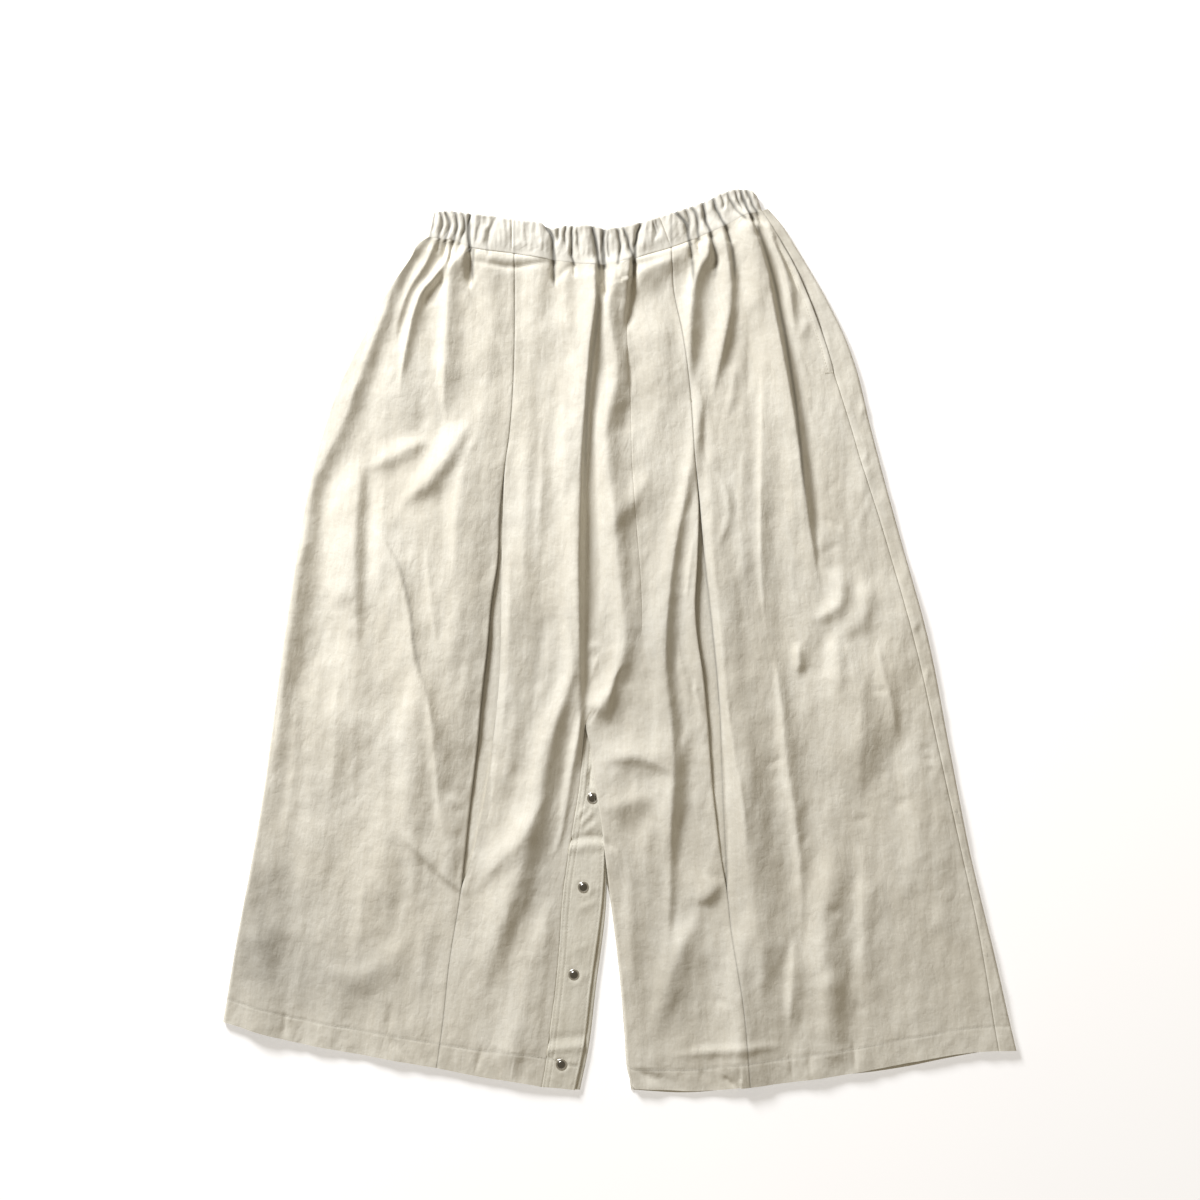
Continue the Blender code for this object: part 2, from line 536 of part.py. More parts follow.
def right_front_side():
    """The side panel that turns round the right side and ends flat on the board."""
    left = line(LEFT_SIDE, "left")
    right = line(RIGHT_PLEAT, "left", -SEAM_GAP / 2)
    start = left[0] + EDGE_RADIUS, left[1]
    shares = column_shares(start, right, SIDE_COLUMNS, free_left=False)[:, 1:]
    under_x = left[0] + np.array([[UNDER_LAP - SEAM_GAP / 2, UNDER_LAP / 2]])
    roll_x = left[0] + EDGE_RADIUS * (1.0 - np.sin(side_turn()))
    x = np.concatenate([under_x, roll_x, start[0] + (right[0] - start[0]) * shares], axis=1)
    y = waist_gap(row_y(x, left, right, RIGHT_HEM))
    z = front_height(x, y)
    rolled = np.s_[:, 2 : 3 + ROLL_STEPS]
    z[rolled] = z[:, 2 + ROLL_STEPS, None] * 0.5 * (1.0 - np.cos(side_turn()))
    z[:, :2] = 0.0
    z[:, -3:] -= PLEAT_FALL * open_share(RIGHT_PLEAT) * EDGE_FALL[:, ::-1]
    outer = on_board(x, y, z)
    normal = face_normals(outer)
    straight_down(normal, np.s_[:, -2:])
    level_ends(normal)
    wall("right_front_side", outer, normal, hem_wall(ROWS))


def right_front_centre():
    left = line(RIGHT_PLEAT, "right", SEAM_GAP / 2)
    right = line(CENTRE_FRONT, "left", -SEAM_GAP / 2)
    fall = PLEAT_FALL * open_share(RIGHT_PLEAT)
    flat_panel("right_front_centre", left, right, RIGHT_HEM, CENTRE_COLUMNS, front_height, fall)


def left_front_centre():
    """The panel whose inner edge lies over the placket, then turns down to the left back."""
    left = line(CENTRE_FRONT, "right", SEAM_GAP / 2)
    right = line(LEFT_PLEAT, "left", -SEAM_GAP / 2)
    x = left[0] + (right[0] - left[0]) * column_shares(left, right, INNER_COLUMNS)
    y = waist_gap(row_y(x, left, right, LEFT_HEM))
    z = left_leg_height(x, y)
    over_placket = ease(*OVERLAP_BEGINS, y[:, :1])
    turned = ease(*OVERLAP_ENDS, y[:, :1])
    to_back = z[:, :1] - hem_wall(ROWS) - LAYER_GAP
    fall = LIP_FALL * over_placket * (1 - turned) + to_back * turned
    z[:, :3] -= fall * INNER_FALL
    z[:, -3:] -= PLEAT_FALL * open_share(LEFT_PLEAT) * EDGE_FALL[:, ::-1]
    outer = on_board(x, y, z)
    normal = face_normals(outer)
    tilt = LIP_TILT * over_placket + (np.pi / 2 - LIP_TILT) * turned
    normal[:, 0] = np.concatenate([-np.sin(tilt), 0.0 * tilt, np.cos(tilt)], axis=1)
    straight_down(normal, np.s_[:, -2:])
    level_ends(normal)
    wall("left_front_centre", outer, normal, hem_wall(ROWS))


def left_front_side():
    left = line(LEFT_PLEAT, "right", SEAM_GAP / 2)
    right = line(SIDE_SEAM, "left", -SEAM_GAP / 2)
    fall = PLEAT_FALL * open_share(LEFT_PLEAT)
    flat_panel("left_front_side", left, right, LEFT_HEM, SIDE_COLUMNS, pocket_side_height, fall)


def pleat_underlay(name, edges):
    """The strip that shows in an open pleat, sewn to the panels at both ends of the opening."""
    left = line(edges, "left", -PLEAT_BACKING)
    right = line(edges, "right", PLEAT_BACKING)
    covered = ((left[1] > PLEAT_TOP) & (left[1] < PLEAT_FOOT))[:, 0]
    share = np.linspace(0.0, 1.0, 4)[None, :]
    x = (left[0] + (right[0] - left[0]) * share)[covered]
    y = (left[1] + (right[1] - left[1]) * share)[covered]
    outer = on_board(x, y, CLOTH + LAYER_GAP + CLOTH)
    wall(name, outer, face_normals(outer), CLOTH)


# ---- Backs ----
def right_back():
    front_left = line(LEFT_SIDE, "left")
    front_right = line(RIGHT_PLEAT, "left", -SEAM_GAP / 2)
    start_x = front_left[0] + UNDER_LAP + SEAM_GAP / 2
    start = start_x, row_y(start_x, front_left, front_right, RIGHT_HEM)
    end = line(CENTRE_BACK, "left", -SEAM_GAP / 2)
    x = start[0] + (end[0] - start[0]) * np.linspace(0.0, 1.0, BACK_COLUMNS)[None, :]
    outer = on_board(x, waist_gap(row_y(x, start, end, RIGHT_HEM), BACK_WAIST_GAP), 0.0)
    wall("right_back", outer, face_normals(outer, faces_up=False), hem_wall(ROWS))


def left_back():
    """The back that turns round the left side and lies on the front up to the side seam."""
    start = line(CENTRE_BACK, "right", SEAM_GAP / 2)
    edge = line(RIGHT_EDGE, "left")
    seam = line(SIDE_SEAM, "right", SEAM_GAP / 2)
    flat_end = edge[0] - EDGE_RADIUS
    flat_x = start[0] + (flat_end - start[0]) * np.linspace(0.0, 1.0, BACK_COLUMNS)[None, :-1]
    roll_x = flat_end + EDGE_RADIUS * np.sin(side_turn())
    lap_x = flat_end + (seam[0] - flat_end) * np.array([[0.5, 1.0]])
    x = np.concatenate([flat_x, roll_x, lap_x], axis=1)
    y = row_y(x, start, edge, LEFT_BACK_HEM)
    lap_share = (lap_x - seam[0]) / (edge[0] - seam[0])
    y[:, -2:] = seam[1] + (edge[1] - seam[1]) * lap_share
    y = waist_gap(y, BACK_WAIST_GAP)
    z = left_leg_height(x, y)
    flat, rolled = np.s_[:, : BACK_COLUMNS - 1], np.s_[:, BACK_COLUMNS - 1 : -2]
    z[rolled] = z[:, -3, None] * 0.5 * (1.0 - np.cos(side_turn()))
    z[flat] = 0.0
    outer = on_board(x, y, z)
    normal = face_normals(outer)
    straight_down(normal, np.s_[:, -2:])
    level_ends(normal)
    wall("left_back", outer, normal, hem_wall(ROWS))


# ---- Placket ----
def placket_height(y):
    """The front strip's outer face: level with the front, lower at its covered top."""
    return FRONT_HEIGHT - PLACKET_DIP * ease(*PLACKET_RISE, y)


def placket_strip(name, left, right, first_row, height):
    """A strip of the placket, from one of the shared rows down to the hem."""
    x = left[0] + (right[0] - left[0]) * PLACKET_COLUMNS
    y = row_y(x, left, right, RIGHT_HEM)
    outer = on_board(x, y, height(y))[first_row:]
    up = np.zeros_like(outer)
    straight_down(up, np.s_[:])
    wall(name, outer, up, PLACKET_CLOTH)


def placket():
    """The front strip, flush with the leg it is sewn to, and the one under it."""
    crotch_row = int(np.argmin(abs(ROWS * LENGTH - CROTCH)))
    seam = line(CENTRE_FRONT, "left", SEAM_GAP / 2)
    edge = line(PLACKET_EDGE, "left")
    placket_strip("placket_front", seam, edge, crotch_row, placket_height)
    seam = line(CENTRE_FRONT, "left", UNDER_PLACKET_STEP)
    edge = line(PLACKET_EDGE, "right")
    under_top = HEM_CLOTH + LAYER_GAP + PLACKET_CLOTH
    placket_strip("placket_under", seam, edge, crotch_row + UNDER_PLACKET_ROW, lambda y: under_top)


# ---- Waistband ----
def quarter_roll(x, free_end, length):
    """How far along its quarter turn (0 to 1) the band is at x, near a free end."""
    return np.clip(1.0 - abs(x - free_end) / length, 0.0, 1.0)


def band_grid(lower_x, up):
    """Board x and y of the band: its height leans with the gathers."""
    upper_x = along(BAND_LEAN, lower_x)
    lower_y = along(WAIST_SEAM, lower_x) - WAIST_GAP / 2
    x = lower_x + (upper_x - lower_x) * up
    return x, lower_y + (along(BAND_TOP, upper_x) - lower_y) * up


def band_piece(name, start, end, free_end=None):
    """One gathered piece of the front casing, between two places on its lower edge.

    A free end turns down to the back band over BAND_ROLL millimetres.
    """
    steps = max(2, round((end - start) / BAND_STEP))
    lower_x = np.linspace(start, end, steps + 1)[None, :]
    up = np.linspace(0.0, 1.0, BAND_ROWS)[:, None]
    x, y = band_grid(lower_x, up)
    relief = fold_relief(BAND_FOLDS, x, y)
    y = y - BAND_NOTCH * relief * up**3
    edges = BAND_EDGE_DROP * (ease(0.75, 1.0, up) + ease(0.25, 0.0, up))
    z = soft_floor(BAND_HEIGHT + relief - edges, LOWEST_BAND)
    tilt = np.zeros_like(lower_x)
    if free_end is not None:
        turn = quarter_roll(lower_x, free_end, BAND_ROLL)
        z = z - (z - BAND_CLOTH - LAYER_GAP) * (1 - np.sqrt(1 - turn**2))
        tilt = np.arcsin(turn) * np.sign(free_end - 0.5 * (start + end))
    outer = on_board(x, y, z)
    normal = np.stack(np.broadcast_arrays(np.sin(tilt), 0.0 * x, np.cos(tilt)), -1)
    wall(name, outer, normal, BAND_CLOTH)


def waistband():
    half = SEAM_GAP / 2
    start, end = BAND_LEAN[0][0], BAND_LEAN[-1][0]
    band_piece("waistband_front_right", start, RIGHT_BAND_SEAM - half, start)
    band_piece("waistband_front_centre", RIGHT_BAND_SEAM + half, LEFT_BAND_SEAM - half)
    band_piece("waistband_front_left", LEFT_BAND_SEAM + half, end, end)
    lower_x = np.linspace(start, end, BACK_BAND_COLUMNS)[None, :]
    up = np.array([[0.0], [0.5], [BACK_BAND_SHARE]])
    outer = on_board(*band_grid(lower_x, up), 0.0)
    wall("waistband_back", outer, face_normals(outer, faces_up=False), BAND_CLOTH)


# ---- Snaps ----
def snap_cap(number, x, y):
    """A domed metal cap, turned from its profile."""
    name = f"snap_cap_{number}"
    mesh = bpy.data.meshes.new(name)
    profile = [(r * SNAP_RADIUS * MM, 0.0, h * SNAP_HEIGHT * MM) for r, h in SNAP_PROFILE]
    mesh.from_pydata(profile, [(i, i + 1) for i in range(len(profile) - 1)], [])
    cap = mesh_object(name, mesh, SNAP_METAL)
    screw = cap.modifiers.new("turn", "SCREW")
    screw.steps = SNAP_SIDES
    screw.render_steps = SNAP_SIDES
    screw.use_merge_vertices = True
    screw.merge_threshold = 0.00002
    foot = placket_height(y) + LAYER_GAP
    cap.location = ((x - BOARD_CENTRE[0]) * MM, (BOARD_CENTRE[1] - y) * MM, foot * MM)


def build():
    right_front_side()
    right_front_centre()
    left_front_centre()
    left_front_side()
    pleat_underlay("right_pleat_underlay", RIGHT_PLEAT)
    pleat_underlay("left_pleat_underlay", LEFT_PLEAT)
    right_back()
    left_back()
    placket()
    waistband()
    for number, (x, y) in enumerate(SNAPS, start=1):
        snap_cap(number, x, y)


for old in list(bpy.data.objects):
    bpy.data.objects.remove(old, do_unlink=True)
COLLECTION = bpy.data.collections.new("culottes")
bpy.context.scene.collection.children.link(COLLECTION)
build()
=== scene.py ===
# %% [markdown]
# # Wide cropped culottes in washed cotton twill
#
# A pair of culottes lies flat on a pale floor, front up. A maker cuts four front panels, two backs,
# two strips that back the open pleats, two placket strips and a waistband that is gathered over
# elastic. Every piece here is a sheet worked out with numpy on a grid of rows and columns, so a fold
# is a formula that lifts the sheet, and a seam is a line where two sheets dip and meet.

import json
import math
from collections import namedtuple

import bmesh
import bpy
import numpy as np
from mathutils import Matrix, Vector

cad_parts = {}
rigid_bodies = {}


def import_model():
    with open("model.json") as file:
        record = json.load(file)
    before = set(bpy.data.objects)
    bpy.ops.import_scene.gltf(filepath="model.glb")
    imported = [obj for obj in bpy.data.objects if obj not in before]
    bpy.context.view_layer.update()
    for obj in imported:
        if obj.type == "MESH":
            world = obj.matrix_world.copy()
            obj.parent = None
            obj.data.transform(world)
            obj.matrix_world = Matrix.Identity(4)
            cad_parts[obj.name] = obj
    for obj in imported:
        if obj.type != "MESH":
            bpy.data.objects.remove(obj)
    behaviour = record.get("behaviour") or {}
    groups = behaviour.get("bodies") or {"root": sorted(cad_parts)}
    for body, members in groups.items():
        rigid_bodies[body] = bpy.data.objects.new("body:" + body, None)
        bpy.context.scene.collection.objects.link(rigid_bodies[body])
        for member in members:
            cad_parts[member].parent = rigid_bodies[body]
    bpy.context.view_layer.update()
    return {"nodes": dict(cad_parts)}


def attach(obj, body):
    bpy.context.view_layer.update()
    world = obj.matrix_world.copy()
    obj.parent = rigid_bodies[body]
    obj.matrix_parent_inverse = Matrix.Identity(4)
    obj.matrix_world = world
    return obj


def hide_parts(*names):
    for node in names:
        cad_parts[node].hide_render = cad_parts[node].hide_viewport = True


for leftover in list(bpy.data.objects):
    bpy.data.objects.remove(leftover, do_unlink=True)
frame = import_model()
print("nodes to dress:", len(frame["nodes"]))

# %% [markdown]
# ## The cutting board
#
# Pattern pieces are drawn in millimetres on a square board, with x to the right and y down, as a
# cutter looks at them. One function moves a point from the board into the frame, in metres and with
# the waist towards +Y. Keeping one small function for this means that every table below can stay in
# the numbers that a tape measure would give.

# %% From the board to the frame
MM = 0.001
BOARD_CENTRE = (619.75, 641.25)


def on_board(x, y, z):
    """Points in the frame: ((x, y, z) - board centre) with y turned over, times a millimetre."""
    x, y, z = np.broadcast_arrays(x, y, z)
    return np.stack([x - BOARD_CENTRE[0], BOARD_CENTRE[1] - y, z], -1) * MM


def off_board(points):
    """The board's x and y of points in the frame."""
    return points[..., 0] / MM + BOARD_CENTRE[0], BOARD_CENTRE[1] - points[..., 1] / MM


# %% [markdown]
# ## Smooth lines from a few marks
#
# A pattern cutter marks a few points and bends a curve ruler through them. `flow` does the same: a
# cubic between each pair of marks, with slopes that never overshoot. `ease` is the soft step that
# starts and ends a fold, and `rolled` is the quarter turn of a folded edge.


# %% The curve ruler
def flow(knots, values, at):
    """A smooth curve through the values at the knots, read at the given places.

    Each span is a cubic whose end slopes are the mean of the neighbouring chord slopes, cut back
    to three times the flatter chord so that the curve never overshoots its points.
    """
    knots = np.asarray(knots, float)
    values = np.asarray(values, float)
    chord = np.diff(values) / np.diff(knots)
    inner = 0.5 * (chord[1:] + chord[:-1])
    limit = 3.0 * np.minimum(abs(chord[1:]), abs(chord[:-1]))
    inner = np.where(chord[1:] * chord[:-1] > 0, np.clip(inner, -limit, limit), 0.0)
    slope = np.concatenate([chord[:1], inner, chord[-1:]])
    at = np.clip(at, knots[0], knots[-1])
    span = np.clip(np.searchsorted(knots, at, side="right") - 1, 0, len(knots) - 2)
    width = knots[span + 1] - knots[span]
    t = (at - knots[span]) / width
    return (
        (1 + 2 * t) * (1 - t) ** 2 * values[span]
        + t * (1 - t) ** 2 * width * slope[span]
        + t**2 * (3 - 2 * t) * values[span + 1]
        - t**2 * (1 - t) * width * slope[span + 1]
    )


def along(curve, x):
    """Board y of a crosswise curve at x."""
    return flow([p[0] for p in curve], [p[1] for p in curve], x)


def ease(start, end, value):
    """0 before start, 1 after end, and 3t^2 - 2t^3 between them."""
    t = np.clip((value - start) / (end - start), 0.0, 1.0)
    return t * t * (3 - 2 * t)


def rolled(distance, reach):
    """A folded edge's fall: 1 on the edge, 0 from the reach inwards, a quarter circle between."""
    t = np.clip(1.0 - distance / reach, 0.0, 1.0)
    return 1.0 - np.sqrt(1.0 - t * t)


# %% [markdown]
# ## The pattern lines
#
# Each lengthwise line lists where the piece on its left ends and where the one on its right begins.
# The two are the same where a seam is sewn, and part where a pleat opens or the inseam falls open.
# "Right" and "left" in names are the wearer's, so the right leg is on the board's left.

# %% Outline and seams, board y and then the x of the piece on each side
Edge = namedtuple("Edge", "y left right")


def edge_table(*rows):
    """Edges from rows of y, left and right, or of y and x alone where the pieces are sewn together."""
    return [Edge(row[0], row[1], row[-1]) for row in rows]


LEFT_SIDE = edge_table(
    (238, 427), (246, 416), (256, 411), (286, 391), (318, 373.5), (356, 353), (394, 335.5), (438, 321),
    (473, 312), (517, 303), (576, 294), (638, 285), (728, 273), (792, 264), (875, 250), (948, 236),
    (1021, 223.5),
)
RIGHT_PLEAT = edge_table(
    (255, 514.5), (284, 515), (356, 514.4), (431, 510), (460, 506), (513, 500, 503), (561, 498, 502),
    (604, 491.5, 501.5), (645, 488, 501), (698, 482, 498), (743, 478, 493), (801, 471, 484),
    (860, 464.5, 471), (892, 461), (960, 450), (1024, 443), (1067, 437),
)
CENTRE_FRONT = edge_table(
    (260, 633), (301, 629), (330, 627), (399, 630.5), (462, 632), (520, 636), (584, 641), (625, 642),
    (650, 634), (675, 617), (700, 599), (720, 587), (745, 583, 590), (771, 581, 593), (797, 578, 597),
    (820, 574, 601), (845, 570, 604), (870, 566, 607), (900, 562.5, 610.5), (961, 558, 618),
    (1023, 551, 624), (1068, 545, 627), (1086, 542, 632),
)
LEFT_PLEAT = edge_table(
    (249, 671), (265, 672), (293, 674), (332, 682), (383, 689.5), (447, 694), (513, 698.5, 700.5),
    (564, 697, 705), (604, 695, 709.5), (635, 697, 713), (676, 703, 717), (716, 707, 720),
    (793, 713, 722.5), (863, 722, 726), (897, 727.5), (931, 731), (1007, 743), (1086, 750),
)
SIDE_SEAM = edge_table(
    (212, 762), (240, 779), (273, 797), (314, 814), (344, 825), (376, 834.5), (429, 851), (460, 860),
    (522, 880), (605, 904), (667, 920), (740, 936), (839, 958), (931, 978), (1026, 994), (1050, 998),
)
RIGHT_EDGE = edge_table(
    (210, 768), (225, 781), (250, 797), (278, 814), (308, 830.5), (336, 844), (369, 856), (426, 870),
    (476, 883), (534, 899), (640, 928), (747, 949), (854, 970), (952, 993.5), (1016, 1008), (1050, 1016),
)
CENTRE_BACK = edge_table(
    (265, 612), (640, 611), (868, 605.5), (904, 601, 611), (986, 591, 620.5), (1045, 582.5, 625.5),
    (1089, 574, 631),
)
PLACKET_EDGE = edge_table(
    (720, 609), (800, 607.5), (845, 605, 604.5), (868, 604.5, 606.5), (904, 602, 606), (986, 591, 596),
    (1045, 584, 589), (1089, 575, 580),
)
print("side seam, mm down:", SIDE_SEAM[-1].y - SIDE_SEAM[0].y)

# %% Curves along the waist and the hems, board x and board y
WAIST_SEAM = [
    (427, 238), (440, 240), (455, 242), (473, 249), (512, 254.5), (539, 259), (565, 263),
    (597, 266), (623, 262.5), (650, 255), (671, 249), (700, 238), (725, 227), (743, 217.5),
    (762, 212), (768, 210), (780, 206),
]
BAND_TOP = [
    (434, 212.5), (445, 211), (472, 214), (489, 216), (512, 220), (539, 223), (553, 229),
    (566, 226), (592, 226), (605, 229), (622, 227), (645, 221.5), (660, 217), (684, 209),
    (705, 201.5), (721, 194), (738, 189.5), (748, 190), (757, 197),
]
BAND_LEAN = [
    (427, 434), (512, 512), (552, 549), (597, 594), (633, 640), (671, 659), (692, 675),
    (714, 695), (729, 719), (752, 741), (762, 757),
]
RIGHT_HEM = [(223.5, 1021), (288, 1039), (376, 1056), (479, 1073), (540, 1080), (580, 1090)]
LEFT_HEM = [
    (626, 1087), (636, 1093), (682, 1093), (756, 1085), (835, 1075), (912, 1061), (958, 1053),
    (998, 1050), (1016, 1050),
]
LEFT_BACK_HEM = [
    (631, 1089), (682, 1092), (756, 1085), (835, 1075), (870, 1071.5), (906, 1066), (955, 1056),
    (998, 1050), (1016, 1050),
]
print("waist, mm:", WAIST_SEAM[-3][0] - WAIST_SEAM[0][0])

# %% [markdown]
# ## Rows from waist to hem
#
# Every panel uses the same row places, from 0 at the waist to 1 at the hem, so neighbours share the
# points of their seam. Rows are close together under the waistband and at the hem, where the cloth
# changes quickly, and further apart on the legs.

# %% Rows and lengthwise lines
WAIST_Y = 264.0
ROW_LENGTH = 1080.0
LENGTH = ROW_LENGTH - WAIST_Y
CROTCH = 720.0 - WAIST_Y
HEM_DEPTH = 24.0
LATE_FROM = 0.6
END_BEND = 8
WAIST_STEP, LEG_STEP, HEM_STEP = 2.0, 2.9, 1.6
GATHERED_LENGTH, HEM_LENGTH = 64.0, 34.0

LEG_ROWS = round((LENGTH - GATHERED_LENGTH - HEM_LENGTH) / LEG_STEP)
ROWS = np.concatenate([
    np.arange(0.0, GATHERED_LENGTH, WAIST_STEP),
    np.linspace(GATHERED_LENGTH, LENGTH - HEM_LENGTH, LEG_ROWS),
    np.linspace(LENGTH - HEM_LENGTH, LENGTH, round(HEM_LENGTH / HEM_STEP) + 1)[1:],
])[:, None] / LENGTH
print("rows on a front panel:", len(ROWS))


def sewn_x(edges, y):
    """Board x of a lengthwise line's left side at y."""
    return flow([e.y for e in edges], [e.left for e in edges], y)


def line(edges, side, rows=ROWS):
    """Board x and y of one side of a lengthwise line at the rows.

    y runs evenly from the waist seam to a common length, and each line makes up the difference to
    its own hem over the last rows, with the square of the late share. The right side is the left
    side moved by their distance, so both are one line where the seam is sewn.
    """
    top = along(WAIST_SEAM, edges[0].left)
    late = np.clip((rows - LATE_FROM) / (1.0 - LATE_FROM), 0.0, 1.0) ** 2
    y = top + (ROW_LENGTH - top) * rows + (edges[-1].y - ROW_LENGTH) * late
    x = sewn_x(edges, y)
    if side == "right":
        x = x + flow([e.y for e in edges], [e.right - e.left for e in edges], y)
    return x, y


def row_y(x, left, right, hem, rows=ROWS):
    """Board y of the rows at x between two lengthwise lines.

    Each row is straight between the lines, bent to the waist curve by (1 - row)^8 and to the hem
    curve by row^8.
    """
    share = (x - left[0]) / (right[0] - left[0])
    bends = []
    for curve in (WAIST_SEAM, hem):
        chord = along(curve, left[0]) * (1 - share) + along(curve, right[0]) * share
        bends.append(along(curve, x) - chord)
    straight = left[1] + (right[1] - left[1]) * share
    return straight + bends[0] * (1 - rows) ** END_BEND + bends[1] * rows**END_BEND


# %% [markdown]
# ## Folds
#
# Washed twill that is gathered at the waist and laid down by hand falls into long soft folds, and no
# two are alike. Each one here is listed: a path down its crest, how far it reaches to each
# side, its height, and how crisp its crest is. A fold that reaches further on one side than on the
# other leans over like a real one. Cloth simulation would give folds of its own choosing, so the
# table is the better tool where the folds have to lie in given places.

# %% What one fold does to the cloth
Fold = namedtuple("Fold", "name path left right height crisp ends spread", defaults=(2.0, "free", 1.0))


def fold_table(*rows):
    """Folds from rows of a name, a path, the reaches to the left and right, the height, and then the
    crispness, the way that the ends fade and the spread where they aren't the usual ones."""
    return [Fold(*row) for row in rows]


FADES = {
    "waist": ((-0.25, 0.12), (1.0, 0.62)),
    "free": ((0.0, 0.36), (1.0, 0.62)),
    "hem": ((0.0, 0.30), (2.0, 1.5)),
    "whole": ((-1.0, -0.5), (2.0, 1.5)),
}
CURVE_POINTS = 28
FOLD_SPAN = 3.2
THIN_END = 0.45


def length_along(x, y):
    """The length of a path of points from its first point to each of them."""
    return np.concatenate([[0.0], np.cumsum(np.hypot(np.diff(x), np.diff(y)))])


def curve_through(path):
    """Points along a smooth curve through the path, which is turned to run down, or to the left if
    it is wider than long, so that a fold's left side is always its left or upper one."""
    path_x, path_y = np.array(path, float).T
    across, down = path_x[-1] - path_x[0], path_y[-1] - path_y[0]
    if (across > 0 and abs(across) > abs(down)) or (down < 0 and abs(down) >= abs(across)):
        path_x, path_y = path_x[::-1], path_y[::-1]
    length = length_along(path_x, path_y)
    at = np.linspace(0.0, length[-1], CURVE_POINTS)
    return flow(length, path_x, at), flow(length, path_y, at)


def nearest_on_curve(curve_x, curve_y, x, y):
    """For each point: its distance to the curve, negative on the left side, and the place along the
    curve, 0 to 1, that is nearest. Both come from the nearest of the curve's straight spans."""
    step_x, step_y = np.diff(curve_x), np.diff(curve_y)
    off_x, off_y = x[:, None] - curve_x[:-1], y[:, None] - curve_y[:-1]
    share = np.clip((off_x * step_x + off_y * step_y) / (step_x**2 + step_y**2), 0.0, 1.0)
    distance = np.hypot(off_x - share * step_x, off_y - share * step_y)
    nearest = np.argmin(distance, axis=1)
    rows = np.arange(len(x))
    side = np.sign(off_x * step_y - off_y * step_x)[rows, nearest]
    return side * distance[rows, nearest], (nearest + share[rows, nearest]) / len(step_x)


def fold_relief(folds, x, y):
    """Sum of the folds at the points.

    A fold's height is height * fade * exp(-(distance / reach)^crisp), with the reach of the side
    that the point is on. The fade takes it down at its free ends, where it also gets narrower, and
    the spread widens it evenly from its first end to its last.
    """
    total = np.zeros(np.shape(x))
    for fold in folds:
        curve_x, curve_y = curve_through(fold.path)
        span = FOLD_SPAN * max(fold.left, fold.right) * max(fold.spread, 1.0)
        near = (x > curve_x.min() - span) & (x < curve_x.max() + span)
        near &= (y > curve_y.min() - span) & (y < curve_y.max() + span)
        distance, place = nearest_on_curve(curve_x, curve_y, x[near], y[near])
        begin, end = FADES[fold.ends]
        fade = ease(*begin, place) * ease(*end, place)
        reach = np.where(distance < 0, fold.left, fold.right) * (1.0 + (fold.spread - 1.0) * place)
        reach = reach * (THIN_END + (1.0 - THIN_END) * fade)
        total[near] += fold.height * fade * np.exp(-(abs(distance / reach) ** fold.crisp))
    return total


